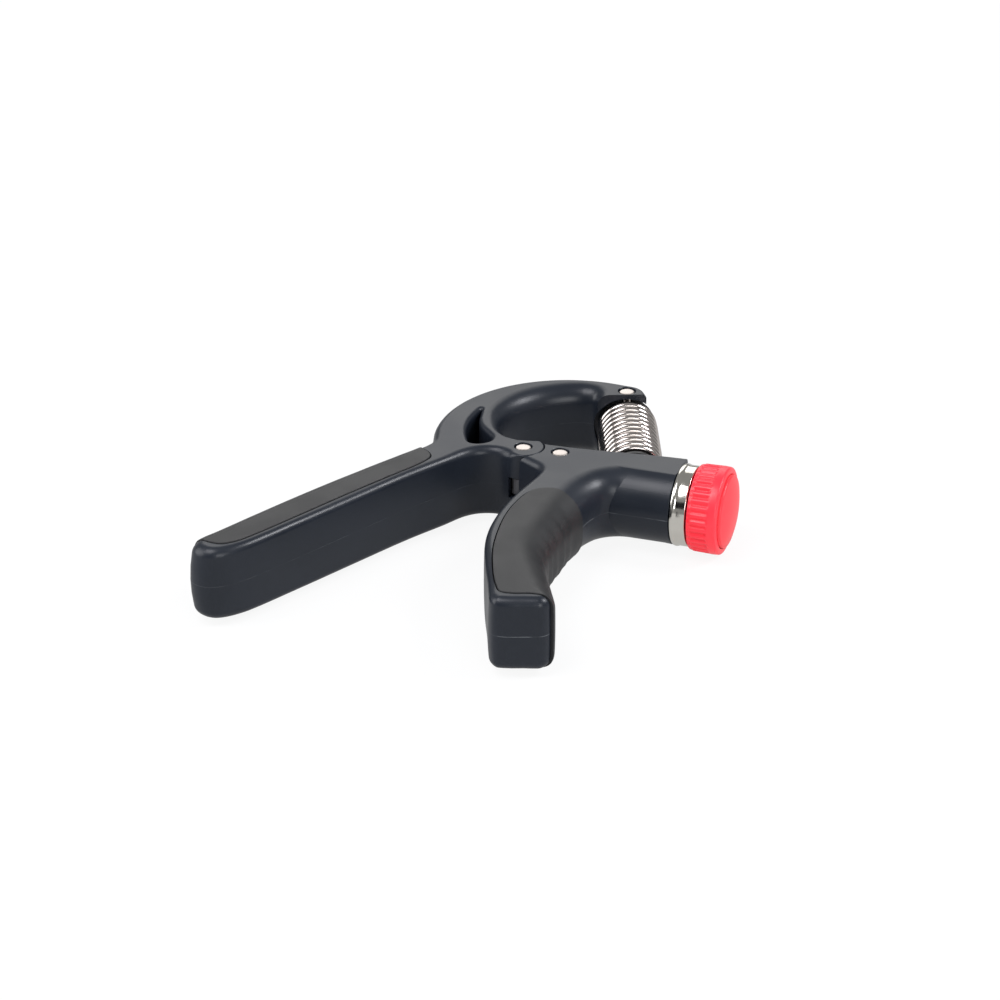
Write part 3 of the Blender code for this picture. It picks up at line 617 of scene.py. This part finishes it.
# Sizes that both bodies and their grips share
bodySizes = {
    "half": 11.0,
    "pinShaft": 1.75, "springShaft": 1.25, "boreGap": 0.25, "headRadius": 2.32,
    "sinkRadius": 2.62, "sinkFloor": 10.1, "sinkRound": 0.12, "sinkPast": 1.0,
    "gripTop": 0.3, "gripProud": 0.9, "gripDepth": 1.6, "groove": 0.3, "lip": 0.35, "lipOver": 0.03,
    "recessGap": 0.3, "recessOver": 2.0, "recessGrow": 1.5, "regionReach": 20.0,
}
half = bodySizes["half"]


def regionOutline(region):
    knots = [(x, y, 0.0) for x, y in region]
    return smoothOutline(knots[::-1] if isClockwise(region) else knots)


def makeGrip(name, outline, region, s, ripple=None):
    top = s["half"] + s["gripTop"]
    panel = pillow(name, outline, top, grow=s["gripProud"], ripple=ripple)
    lipped = [(x, y, s["lip"], 0.0) for x, y, edge, lean in regionOutline(region)]
    keepInside(panel, pillow("region", lipped, top + s["lipOver"], steps=5, walls=0))
    core = pillow("core", outline, top - s["gripDepth"], grow=-s["gripDepth"], steps=5, walls=1)
    return cutAway(panel, core)


def cutGripRecess(target, outline, region, s):
    depth = s["gripDepth"] + s["recessGap"]
    recess = pillow("recess", outline, s["half"] + s["recessOver"], grow=s["recessGrow"], steps=4, walls=0)
    edge = regionOutline(region)
    normals = outwardNormals(edge)
    wider = [(p[0] + n.x * s["groove"], p[1] + n.y * s["groove"]) for p, n in zip(edge, normals)]
    keepInside(recess, prism("region", wider, *across(s["regionReach"])))
    cutAway(recess, pillow("core", outline, s["half"] + s["gripTop"] - depth, grow=-depth, steps=5, walls=1))
    cutAway(target, recess)


# A bore with a sunk ring at each face, whose rim is eased
def cutPinHoles(target, spot, shaft, s):
    wall, floor, face = s["sinkRadius"], s["sinkFloor"], s["half"]
    past = s["sinkRound"] + s["sinkPast"]
    profile = [(floor, shaft + s["boreGap"]), (floor, wall)]
    profile += [(face - s["sinkRound"], wall), (face + past, wall + past)]
    cutAway(target, lathe("hole", mirrored(profile), upright(spot), steps=48))


def palmOutline():
    knots = arcKnots(0, 0, 6, -95, -56, 2.4, 0.6, 3)
    knots += uprightWalls(arcKnots(0, 0, 6, -42, 86, 0.5, 0.5, 9))
    knots += [(-1.9, 4.7, 0.9), (-4.9, 3.1, 1.8), (-9.0, 2.2, 2.2), (-13.5, 3.2, 2.5)]
    knots += [(-17.8, 6.4, 3.2), (-21.4, 11.0, 4.2), (-23.3, 16.9, 4.9), (-23.7, 23.0, 5.3)]
    knots += [(-22.4, 29.0, 5.5), (-19.8, 34.5, 5.5), (-16.8, 38.6, 5.3), (-13.9, 40.5, 4.6)]
    nose = [(-11.4, 40.1, 3.6), (-9.3, 37.9, 2.8), (-7.6, 36.0, 2.0), (-6.3, 35.5, 1.6)]
    nose += [(-5.3, 36.5, 1.2), (-4.3, 39.3, 0.8), (-4.5, 42.2, 0.6), (-3.2, 44.7, 0.6)]
    nose += [(-0.9, 45.9, 0.6), (1.5, 45.8, 0.6), (2.9, 46.1, 0.6), (3.2, 47.0, 0.6), (2.4, 47.9, 0.9)]
    nose += arcKnots(-6.9, 46.7, 6.0, 56, 100, 1.6, 2.3, 3)
    knots += uprightWalls(nose)
    knots += arcKnots(3.4, 14.8, 39.5, 112, 228, 2.5, 2.5, 16)
    knots += [(-21.7, -16.1, 2.5), (-21.0, -18.4, 2.6), (-21.2, -23.0, 3.2), (-22.1, -32.0, 4.4)]
    knots += [(-22.5, -45.0, 5.0), (-22.2, -62.0, 5.0), (-21.2, -82.0, 5.0), (-20.0, -97.0, 4.6, 0.3)]
    knots += [(-19.7, -103.0, 4.0, 0.8), (-18.5, -106.7, 3.2, 1.2), (-15.6, -109.1, 2.8, 1.4)]
    knots += [(-11.6, -109.1, 2.8, 1.3), (-8.7, -107.0, 2.6, 0.9), (-7.1, -103.6, 2.6, 0.4)]
    knots += [(-6.2, -97.0, 2.1), (-6.9, -76.0, 2.0), (-8.0, -54.0, 2.0), (-8.8, -36.0, 2.0)]
    knots += [(-8.6, -22.0, 2.1), (-8.5, -14.6, 2.5), (-7.4, -10.6, 2.5), (-5.0, -7.6, 2.5)]
    knots += [(-2.6, -6.3, 2.5)]
    return smoothOutline(knots)


def crescentOutline():
    knots = [(-27.1, 8.1, 1.4)]
    knots += arcKnots(-1.1, 14.9, 26.8, 204, 238, 1.5, 1.5, 4)
    knots += [(-13.2, -8.9, 1.5), (-11.4, -8.2, 1.5), (-10.1, -6.2, 1.5), (-9.9, -4.0, 1.5)]
    knots += [(-11.2, -2.0, 1.5), (-14.2, -0.9, 1.5), (-18.5, 0.4, 1.5), (-22.0, 2.6, 1.5), (-24.8, 5.6, 1.5)]
    return smoothOutline(knots)


def fingerOutline():
    knots = [(-1.6, 4.8, 1.6), (-2.7, 3.0, 1.6), (-2.6, -2.6, 1.6), (-0.8, -4.8, 1.6), (2.0, -5.1, 1.9)]
    knots += [(8.0, -5.0, 2.2), (11.4, -5.1, 2.3), (13.3, -6.1, 2.4), (14.4, -8.2, 2.5)]
    knots += [(16.3, -13.2, 2.5), (18.7, -20.2, 2.5), (22.0, -27.8, 2.5), (25.5, -34.2, 2.5)]
    knots += [(30.1, -40.9, 2.5), (35.8, -47.2, 2.5), (43.4, -53.8, 2.6), (51.2, -60.0, 2.8)]
    knots += [(57.4, -65.2, 2.4, 0.3), (60.0, -67.2, 2.3, 0.4), (62.9, -67.9, 2.4, 0.6)]
    knots += [(65.6, -66.3, 2.6, 0.7), (69.0, -62.6, 2.8, 0.5)]
    knots += arcKnots(68.5, -57.2, 3.9, -38, 46, 2.8, 3.2, 4)
    knots += [(68.2, -51.6, 5.6), (62.4, -47.2, 7.0), (56.6, -42.9, 7.8), (50.3, -37.8, 8.4)]
    knots += [(45.9, -32.6, 8.4), (42.9, -27.4, 8.4), (40.1, -22.2, 8.4), (36.7, -16.0, 8.2)]
    knots += [(33.6, -9.0, 7.8), (31.4, -3.4, 7.6)]
    knots += arcKnots(38.6, 1.7, 8.0, 180, 119.5, 7.4, 7.4, 4)
    barrelKnots = [(42.0, -9.5, 7.6), (50.0, -9.5, 7.0), (53.0, -7.0, 5.0), (54.0, 0.0, 2.2)]
    barrelKnots += [(53.0, 7.0, 1.8), (50.0, 8.7, 2.0), (44.0, 8.7, 2.1), (34.0, 7.8, 2.1)]
    barrelKnots += [(24.0, 6.6, 2.1), (14.0, 5.5, 2.0), (6.0, 5.0, 1.8)]
    for reach, side, edge in barrelKnots:
        spot = inBarrel(reach, side, 0.0)
        knots.append((spot.x, spot.y, edge))
    return smoothOutline(knots)


# The grips' regions in the plan, and the line (level, slope) below which a body is its handle
palmRegion = [(-19.0, -22.3), (-14.8, -22.9), (-12.8, -24.3), (-11.7, -28.5), (-11.3, -40.0), (-10.7, -58.0),
              (-9.7, -76.0), (-9.0, -92.0), (-9.2, -98.0), (-10.8, -102.0), (-14.4, -104.0), (-19.0, -104.2),
              (-34.0, -104.6), (-36.0, -63.0), (-34.0, -21.9)]
fingerRegion = [(29.8, -10.4), (25.8, -11.4), (22.8, -15.0), (22.6, -19.0), (24.7, -25.2), (28.6, -32.6),
                (34.0, -40.2), (41.0, -48.4), (49.5, -56.1), (57.3, -62.0), (60.6, -63.6), (63.6, -62.0),
                (67.0, -58.4), (71.0, -55.9), (84.0, -50.0), (72.0, -22.0), (44.0, -7.0)]
handleLines = {"palm": (-17.5, 0.0), "finger": (-12.0, 0.3)}
palmShape = palmOutline()
fingerShape = fingerOutline()
palmPart = handlePart(palmShape, *handleLines["palm"])
fingerPart = handlePart(fingerShape, *handleLines["finger"])

# Palm handle with the C-shaped arm. The pocket for the spring is cut once for each turn that it swings to.
palmSettings = {
    "slotHalf": 3.3, "slotRadius": 5.0, "mouthReach": (0.2, 12.0), "mouthHalf": 9.0,
    "pocket": (-0.9, 40.0), "pocketRadius": 9.5, "pocketTurns": (3.8, -2.0, -7.0, -12.0),
    "noseCut": (2.7, 18.0), "noseSide": (-13.0, 14.0), "noseHalf": 14.0,
    "eyeRoom": 3.4, "eyeHalf": 5.5,
}


def makePalmHandle(s):
    piece = pillow("palmHandle", palmShape, half)
    cutAway(piece, flaredCutter("crescent", crescentOutline(), half))
    cutGripRecess(piece, palmPart, palmRegion, bodySizes)
    slotHeight = across(s["slotHalf"])
    slot = rod("slot", slotHeight, s["slotRadius"], upright(hingeSpot), steps=64)
    joinOn(slot, block("mouth", upright(hingeSpot), slotHeight, s["mouthReach"], across(s["mouthHalf"])))
    cutAway(piece, slot)
    cutPinHoles(piece, hingeSpot, bodySizes["pinShaft"], bodySizes)
    for turned in s["pocketTurns"]:
        swung = lambda along, side, height: inSpring(along, side, height, turned)
        cutAway(piece, rod("pocket", s["pocket"], s["pocketRadius"], swung, steps=96))
    cutAway(piece, block("noseFace", inSpring, s["noseCut"], s["noseSide"], across(s["noseHalf"])))
    cutAway(piece, rod("eyeSpace", across(s["eyeHalf"]), s["eyeRoom"], upright(springPin)))
    cutPinHoles(piece, springPin, bodySizes["springShaft"], bodySizes)
    finishPiece(piece, "palm_handle", "palm_side", palmPlastic)


makePalmHandle(palmSettings)
finishPiece(makeGrip("palmGrip", palmPart, palmRegion, bodySizes), "palm_grip", "palm_side", gripSoft)

# Finger lever with the barrel that holds the adjuster
leverSettings = {
    "lipEnd": 46.7, "beyond": 70.0, "seatRadius": 6.3,
    "shoulder": ((16.0, 6.0), (18.0, 8.6), (21.0, 9.7), (25.0, 10.8)), "shoulderEnd": 30.0,
    "barrelEnd": 46.8, "barrelRadius": 11.5, "rim": ((-0.4, 0.0), (-0.12, -0.1), (0.0, -0.4)),
    "spigotEnd": 51.3, "spigotRadius": 10.2,
    "trough": {"along": (15.7, 45.5), "half": 9.7, "floor": 4.2},
    "channel": {"along": (17.5, 43.8), "half": 6.0, "floor": -6.0},
    "bushRadius": 3.6, "bushGap": 0.25, "bearingOver": 2.0,
    "tongueLength": 15.3, "tongueHalf": (3.7, 2.7),
}


def makeLever(s):
    piece = pillow("fingerLever", fingerShape, half)
    cutGripRecess(piece, fingerPart, fingerRegion, bodySizes)
    cutAway(piece, block("squareEnd", inBarrel, (s["lipEnd"], s["beyond"]), through, through))
    cutAway(piece, rod("seat", through, s["seatRadius"], upright(hingeSpot), steps=128))
    end, radius, spigot = s["barrelEnd"], s["barrelRadius"], s["spigotRadius"]
    profile = [*s["shoulder"], (s["shoulderEnd"], radius), *offsets(s["rim"], end, radius)]
    profile += [(end, spigot), (s["spigotEnd"], spigot)]
    barrel = lathe("barrel", profile, inBarrel, steps=128)
    keepInside(barrel, block("faces", inBarrel, (0.0, s["beyond"]), through, across(half)))
    joinOn(piece, barrel)
    for name in ("trough", "channel"):
        cut = s[name]
        cutAway(piece, block(name, inBarrel, cut["along"], (cut["floor"], through[1]), across(cut["half"])))
    bearing = (s["channel"]["along"][1] - s["bearingOver"], s["spigotEnd"] + s["bearingOver"])
    cutAway(piece, rod("bearing", bearing, s["bushRadius"] + s["bushGap"], inBarrel))
    wide, deep = s["tongueHalf"]
    cutAway(piece, block("tongueRoom", inBarrel, (0.0, s["tongueLength"]), across(wide), across(deep)))
    cutPinHoles(piece, rivet, bodySizes["pinShaft"], bodySizes)
    finishPiece(piece, "finger_lever", "finger_side", bodyPlastic)


makeLever(leverSettings)

# Finger grip, with upright ribs down its outer side. Top angles are degrees up its rounded edge.
ribSettings = {"pitch": 5.2, "depth": 0.45, "power": 2, "first": 7.0, "last": 50.0, "fade": 3.0,
               "topStart": 66.0, "topFull": 40.0}


def smooth(value, start, end):
    share = min(max((value - start) / (end - start), 0.0), 1.0)
    return share * share * (3 - 2 * share)


def ribRipple(outline, s):
    reach = [0.0] * len(outline)
    for i in range(len(outline) - 2, -1, -1):
        reach[i] = reach[i + 1] + (Vector(outline[i][:2]) - Vector(outline[i + 1][:2])).length

    def ripple(i, degrees):
        place, fade = reach[i], s["fade"]
        there = smooth(place, s["first"], s["first"] + fade) * smooth(place, s["last"], s["last"] - fade)
        down = smooth(degrees, s["topStart"], s["topFull"])
        ridge = (0.5 + 0.5 * math.cos(2 * math.pi * place / s["pitch"])) ** s["power"]
        return s["depth"] * there * down * (1 - ridge)
    return ripple


fingerGrip = makeGrip("fingerGrip", fingerPart, fingerRegion, bodySizes, ribRipple(fingerPart, ribSettings))
finishPiece(fingerGrip, "finger_grip", "finger_side", gripSoft)

# Pins with crowned heads
pinSettings = {"under": 10.2, "sink": 0.2, "rimHeight": 0.28, "rimRound": 0.06,
               "domeOver": 0.12, "domePower": 0.55, "domeTurns": range(0, 86, 8)}


def makePin(name, node, body, spot, shaft, s):
    head, under, edge = bodySizes["headRadius"], s["under"], s["rimRound"]
    rim = under + s["rimHeight"]
    rise = half - s["sink"] + s["domeOver"] - rim
    turns = [math.radians(degrees) for degrees in s["domeTurns"]]
    dome = [(rim + rise * math.sin(t), head * math.cos(t) ** s["domePower"]) for t in turns]
    profile = [(under, shaft), (under, head - edge), (under + edge, head)] + dome
    piece = lathe(name, mirrored(profile), upright(spot), steps=64)
    finishPiece(piece, node, body, pinNickel, weighted=False)


makePin("hingePin", "hinge_pin", "palm_side", hingeSpot, bodySizes["pinShaft"], pinSettings)
makePin("tongueRivet", "tongue_rivet", "finger_side", rivet, bodySizes["pinShaft"], pinSettings)
makePin("springPin", "spring_pin", "upper_pin", springPin, bodySizes["springShaft"], pinSettings)


# Geometry Nodes trees take one input for each of their settings, and end in plain meshes with a material
def startTree(name, settings, takesMesh=False):
    tree = bpy.data.node_groups.new(name, "GeometryNodeTree")
    kinds = {"Geometry": "NodeSocketGeometry"} if takesMesh else {}
    for key, value in settings.items():
        kinds[key] = "NodeSocketInt" if isinstance(value, int) else "NodeSocketFloat"
    kinds["Material"] = "NodeSocketMaterial"
    for key, kind in kinds.items():
        tree.interface.new_socket(key, in_out="INPUT", socket_type=kind)
    tree.interface.new_socket("Geometry", in_out="OUTPUT", socket_type="NodeSocketGeometry")
    net = Net(tree)
    given = tree.nodes.new("NodeGroupInput")
    return tree, net, lambda key: Sock(net, given.outputs[key])


def endTree(tree, net, shape, material):
    solid = net.node("GeometryNodeRealizeInstances", {}, shape)
    net.send(net.node("GeometryNodeSetMaterial", {}, solid, Material=material), "NodeGroupOutput")
    return tree


# Coil spring: a line is bent into a coil whose end turns are drawn in, and gets round wire.
# It runs a little past its turns at both ends.
coilSettings = {"Turns": 11.25, "Past": 0.045, "Radius": 7.82, "End Radius": 7.6, "Drawn In": 0.9,
                "Start": 1.6, "Pitch": 2.8093, "Start Angle": 200.0,
                "Wire Radius": 1.18, "Points": 640, "Sides": 16}


def coilTree(settings):
    tree, net, get = startTree("coilSpring", settings)
    line = net.node("GeometryNodeMeshLine", {}, get("Points"))
    index = net.node("GeometryNodeInputIndex", {})
    turn = index / (get("Points") - 1.0) * (get("Turns") + get("Past") * 2.0) - get("Past")
    toEnd = turn.maths("MINIMUM", get("Turns") - turn)
    radius = net.ramp(toEnd, 0.0, get("Drawn In"), get("End Radius"), get("Radius"))
    angle = (get("Start Angle") / 360.0 + turn) * (2 * math.pi)
    along = get("Start") + get("Pitch") * turn
    side = radius * angle.maths("COSINE")
    height = radius * angle.maths("SINE")
    spot = net.vector("ADD", net.scaled(tuple(springWay), along), net.scaled(tuple(springSide), side))
    spot = net.vector("ADD", spot, net.scaled((0.0, 0.0, 1.0), height))
    spot = net.vector("ADD", spot, tuple(springPin))
    bent = net.node("GeometryNodeSetPosition", {}, line, None, spot)
    wire = net.node("GeometryNodeMeshToCurve", {}, bent)
    ring = net.node("GeometryNodeCurvePrimitiveCircle", {}, get("Sides"), Radius=get("Wire Radius"))
    tube = net.node("GeometryNodeCurveToMesh", {}, wire, ring, Fill_Caps=True)
    return endTree(tree, net, tube, get("Material"))


def grownFrom(name, mesh, tree, settings, material):
    piece = bpy.data.objects.new(name, mesh)
    bpy.context.scene.collection.objects.link(piece)
    step = piece.modifiers.new("grow", "NODES")
    step.node_group = tree
    for item in tree.interface.items_tree:
        if item.in_out == "INPUT" and item.name in settings:
            step[item.identifier] = settings[item.name]
        elif item.in_out == "INPUT" and item.name == "Material":
            step[item.identifier] = material
    settle(piece)
    return piece


# The coil, grown from its tree and baked in place at one length along its axis
coil = grownFrom("springCoil", bpy.data.meshes.new("coilLine"), coilTree(coilSettings), coilSettings, nickel)
finishPiece(coil, "spring_coil", "coil", nickel, sharp=50.0, weighted=False, ride=False)
hinge + inSpring(0.5, 0, 0) * mm
hinge + inSpring(30.5, 0, 0) * mm
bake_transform(coil)

# Plugs in the two ends of the coil, with the sizes that they share
plugSettings = {"flange": 8.3, "plug": 5.4, "cone": 0.35, "coneStart": 0.9, "edgeDrop": 0.3, "eye": 3.0}
hangerSettings = {
    **plugSettings, "face": 0.3, "back": -0.6, "edge": 0.2, "plugEnd": 10.0, "tipEnd": 13.0, "tip": 3.6,
    "eyeHalf": 5.2, "eyeHole": 1.5,
}
footSettings = {
    **plugSettings, "face": 34.605, "pin": 39.555, "edge": 1.2, "back": 1.4, "plugEnd": 8.0, "tipEnd": 11.0,
    "tip": 3.8, "neckStart": 1.0, "neckHalf": 2.6, "eyeHalf": 3.6, "eyeHole": 1.55,
}


def addEye(piece, spot, s):
    joinOn(piece, rod("eye", across(s["eyeHalf"]), s["eye"], upright(spot)))
    cutAway(piece, rod("eyeHole", through, s["eyeHole"], upright(spot)))


def makeHanger(s):
    face, back, flange, plug = s["face"], s["back"], s["flange"], s["plug"]
    profile = [(back, flange - s["edgeDrop"]), (back + s["edge"], flange), (face - s["cone"], flange),
               (face, plug + s["coneStart"]), (face, plug), (face + s["plugEnd"], plug),
               (face + s["tipEnd"], s["tip"])]
    piece = lathe("springHanger", profile, inSpring, steps=72)
    addEye(piece, springPin, s)
    finishPiece(piece, "spring_hanger", "hanger", innerPlastic)


def makeFoot(s):
    face, flange, plug = s["face"], s["flange"], s["plug"]
    profile = [(face - s["tipEnd"], s["tip"]), (face - s["plugEnd"], plug), (face, plug),
               (face, plug + s["coneStart"]), (face + s["cone"], flange), (face + s["edge"], flange),
               (face + s["back"], flange - s["edgeDrop"])]
    piece = lathe("springFoot", profile, inSpring, steps=72)
    neck = (face + s["neckStart"], s["pin"])
    joinOn(piece, block("neck", inSpring, neck, across(s["neckHalf"]), across(s["eyeHalf"])))
    addEye(piece, footPin, s)
    finishPiece(piece, "spring_foot", "foot", innerPlastic)


makeHanger(hangerSettings)
makeFoot(footSettings)

# Ferrule, with a soft bead behind its band
ferruleSettings = {
    "start": 47.1, "end": 51.6, "radius": 12.0, "inner": 10.5,
    "lipDrop": 0.25, "beadPeak": 0.9, "beadEnd": 1.6, "bandDrop": 0.35,
    "rounds": (0, 0.25, 0.5, 0.4, 0.35, 0),
}


def makeFerrule(s):
    start, end, radius, inner = s["start"], s["end"], s["radius"], s["inner"]
    band = radius - s["bandDrop"]
    corners = [(start, inner), (start, radius - s["lipDrop"]), (start + s["beadPeak"], radius),
               (start + s["beadEnd"], band), (end, band), (end, inner)]
    piece = lathe("ferruleRing", softProfile(corners, s["rounds"]), inBarrel, steps=144, closed=True)
    finishPiece(piece, "ferrule", "finger_side", ferruleNickel, weighted=False)


makeFerrule(ferruleSettings)

# Flutes, pressed into the knob's side where it reaches out far enough
fluteSettings = {"Count": 36.0, "Depth": 0.55, "Sharpness": 1.6, "Start": 53.2, "End": 58.0, "Fade": 0.5,
                 "Inner Reach": 12.0, "Outer Reach": 12.3}


def fluteTree(settings):
    tree, net, get = startTree("knobFlutes", settings, takesMesh=True)
    spot = net.node("GeometryNodeInputPosition", {})
    along = net.vector("DOT_PRODUCT", spot, tuple(barrelWay), out=1)
    side = net.vector("DOT_PRODUCT", spot, tuple(barrelSide), out=1)
    height = net.split(spot, 2)
    angle = height.maths("ARCTAN2", side)
    groove = (0.5 + 0.5 * (angle * get("Count")).maths("COSINE")).maths("POWER", get("Sharpness"))
    enter = net.ramp(along, get("Start") - get("Fade"), get("Start") + get("Fade"))
    leave = net.ramp(along, get("End") - get("Fade"), get("End") + get("Fade"), 1.0, 0.0)
    reach = (side * side + height * height).maths("SQRT")
    outer = net.ramp(reach, get("Inner Reach"), get("Outer Reach"))
    push = groove * enter * leave * outer * get("Depth") / reach.maths("MAXIMUM", 1.0)
    inward = net.vector("ADD", net.scaled(tuple(-barrelSide), side), net.scaled((0.0, 0.0, -1.0), height))
    pressed = net.node("GeometryNodeSetPosition", {}, get("Geometry"), None, None, net.scaled(inward, push))
    return endTree(tree, net, pressed, get("Material"))


# Knob: a back edge, close rows of points for the flutes, a rounded front edge and a seat for the cap
knobSettings = {
    "start": 52.0, "end": 61.0, "radius": 12.75, "capRadius": 10.6, "capGap": 0.2, "seatDepth": 1.2,
    "back": ((0.0, -1.5), (0.25, -0.45), (1.05, -0.3)),
    "rows": 26, "rowStart": 1.2, "rowStep": 0.2, "rowDrop": 0.15, "rowRise": 0.005,
    "front": ((-2.4, 0.0), (-0.3, -0.12), (0.0, -1.2)), "rounds": (0, 0.3, 0.5, 0.35, 0.12, 0),
    "bore": 5.6, "boreFloor": 54.5, "screwHole": 2.65,
}


def makeKnob(s):
    start, end, radius, bore, hole = s["start"], s["end"], s["radius"], s["bore"], s["screwHole"]
    seat, room = end - s["seatDepth"], s["capRadius"] + s["capGap"]
    side = []
    for i in range(s["rows"]):
        side.append((start + s["rowStart"] + s["rowStep"] * i, radius - s["rowDrop"] + s["rowRise"] * i))
    corners = [side[-1], *offsets(s["front"], end, radius), (end, room), (seat, room)]
    front = softProfile(corners, s["rounds"])[1:]
    inside = [(seat, bore), (s["boreFloor"], bore), (s["boreFloor"], hole), (start, hole)]
    profile = offsets(s["back"], start, radius) + side + front + inside
    base = lathe("knobBase", profile, inBarrel, steps=432, closed=True)
    piece = grownFrom("knobGrip", base.data, fluteTree(fluteSettings), fluteSettings, redPlastic)
    bpy.data.objects.remove(base, do_unlink=True)
    finishPiece(piece, "knob", "knob_set", redPlastic, sharp=40.0, weighted=False)


# Crowned cap in the knob's seat
capSettings = {
    "seat": knobSettings["end"], "radius": knobSettings["capRadius"],
    "edge": ((-1.1, 0.0), (0.35, 0.0), (0.65, -0.12), (0.82, -0.38)),
    "crownInset": 0.7, "crownTop": 2.35, "crownFall": 1.45, "crownPower": 2.2, "crownRings": 14,
}


def makeCap(s):
    seat, radius, rings = s["seat"], s["radius"], s["crownRings"]
    reach = radius - s["crownInset"]
    radii = [reach * k / rings for k in range(rings, 0, -1)]
    crown = [(seat + s["crownTop"] - s["crownFall"] * (r / reach) ** s["crownPower"], r) for r in radii]
    piece = lathe("knobCap", offsets(s["edge"], seat, radius) + crown, inBarrel, steps=144)
    finishPiece(piece, "knob_cap", "knob_set", shadedCapRed, sharp=50.0, weighted=False)


makeKnob(knobSettings)
makeCap(capSettings)
print("adjuster made")


# Floor, backdrop and lights: a white product set that reflections see as a softer white
white = (1.0, 1.0, 1.0)
stageSettings = {
    "floorColour": (0.80, 0.80, 0.80), "floorSize": 8.0, "floorBelow": 0.0002, "shadowShare": 0.10,
    "worldLight": (0.80, 0.83, 0.88), "worldStrength": 0.55,
    "floorReflected": 0.58, "worldReflected": 0.28,
}


def rayKind(net, *names):
    path = net.tree.nodes.new("ShaderNodeLightPath")
    rays = [Sock(net, path.outputs[name]) for name in names]
    total = rays[0]
    for ray in rays[1:]:
        total = total.maths("MAXIMUM", ray)
    return total


def directRays(net):
    return rayKind(net, "Is Camera Ray", "Is Glossy Ray", "Is Transmission Ray")


def glowStrength(net, reflected):
    return 1.0 - rayKind(net, "Is Glossy Ray") * (1.0 - reflected)


def makeFloor(s):
    material, net = newMaterial("whiteFloor")
    lit = net.node("ShaderNodeBsdfDiffuse", {}, s["floorColour"])
    glow = net.node("ShaderNodeEmission", {}, white, glowStrength(net, s["floorReflected"]))
    mixed = net.node("ShaderNodeMixShader", {}, directRays(net) * (1.0 - s["shadowShare"]), lit, glow)
    net.send(mixed, "ShaderNodeOutputMaterial")
    bpy.ops.mesh.primitive_plane_add(size=s["floorSize"], location=(0.0, 0.0, -s["floorBelow"]))
    floor = bpy.context.object
    floor.name = "floor"
    floor.data.materials.append(material)


def makeWorld(s):
    world = bpy.data.worlds.new("studio")
    bpy.context.scene.world = world
    world.use_nodes = True
    net = Net(world.node_tree)
    ambient = net.node("ShaderNodeBackground", {}, s["worldLight"], s["worldStrength"])
    shown = net.node("ShaderNodeBackground", {}, white, glowStrength(net, s["worldReflected"]))
    net.send(net.node("ShaderNodeMixShader", {}, directRays(net), ambient, shown), "ShaderNodeOutputWorld")


lampSettings = {
    "backSoft": {"at": (-0.72, 0.66, 0.56), "size": 0.7, "power": 2.4, "colour": (1.0, 0.99, 0.97)},
    "edgeSoft": {"at": (0.50, 0.64, 0.74), "size": 0.34, "power": 7.0, "colour": (0.95, 0.96, 1.0)},
    "highSoft": {"at": (-0.06, -0.46, 1.0), "size": 0.55, "power": 6.5, "colour": (0.97, 0.96, 1.0)},
    "leftSoft": {"at": (-0.72, -0.80, 0.52), "size": 0.8, "power": 7.5, "colour": (0.98, 0.98, 1.0)},
    "frontFill": {"at": (1.0, -0.35, 0.45), "size": 0.5, "power": 4.0, "colour": (0.98, 0.99, 1.0)},
}


def makeLamps(settings):
    for name, s in settings.items():
        data = bpy.data.lights.new(name, "AREA")
        data.shape = "SQUARE"
        data.size = s["size"]
        data.energy = s["power"]
        data.color = s["colour"]
        lamp = bpy.data.objects.new(name, data)
        lamp.location = s["at"]
        lamp.rotation_euler = (-Vector(s["at"])).to_track_quat("-Z", "Y").to_euler()
        bpy.context.scene.collection.objects.link(lamp)


# A dark card round the camera, seen only in reflections, gives bright metal its dark band
cardSettings = {
    "azimuth": cameraSettings["azimuth"], "elevation": cameraSettings["elevation"], "distance": 2.4,
    "width": 3.0, "height": 0.85, "colour": (0.012, 0.012, 0.014), "roughness": 0.9,
}


def makeCard(s):
    material, net = newMaterial("darkCard")
    net.finish(Base_Color=s["colour"], Roughness=s["roughness"], Specular_IOR_Level=0.0)
    bpy.ops.mesh.primitive_plane_add(size=1.0)
    card = bpy.context.object
    card.name = "darkCard"
    card.scale = (s["width"], s["height"], 1.0)
    away = viewWay(s["azimuth"], s["elevation"])
    card.location = away * s["distance"]
    card.rotation_euler = away.to_track_quat("Z", "Y").to_euler()
    card.data.materials.append(material)
    card.visible_camera = False
    card.visible_diffuse = False
    card.visible_shadow = False
    card.visible_transmission = False


makeFloor(stageSettings)
makeWorld(stageSettings)
makeCard(cardSettings)
makeLamps(lampSettings)
print("floor, world, card and lamps made")
bpy.context.scene.view_settings.view_transform = "Standard"
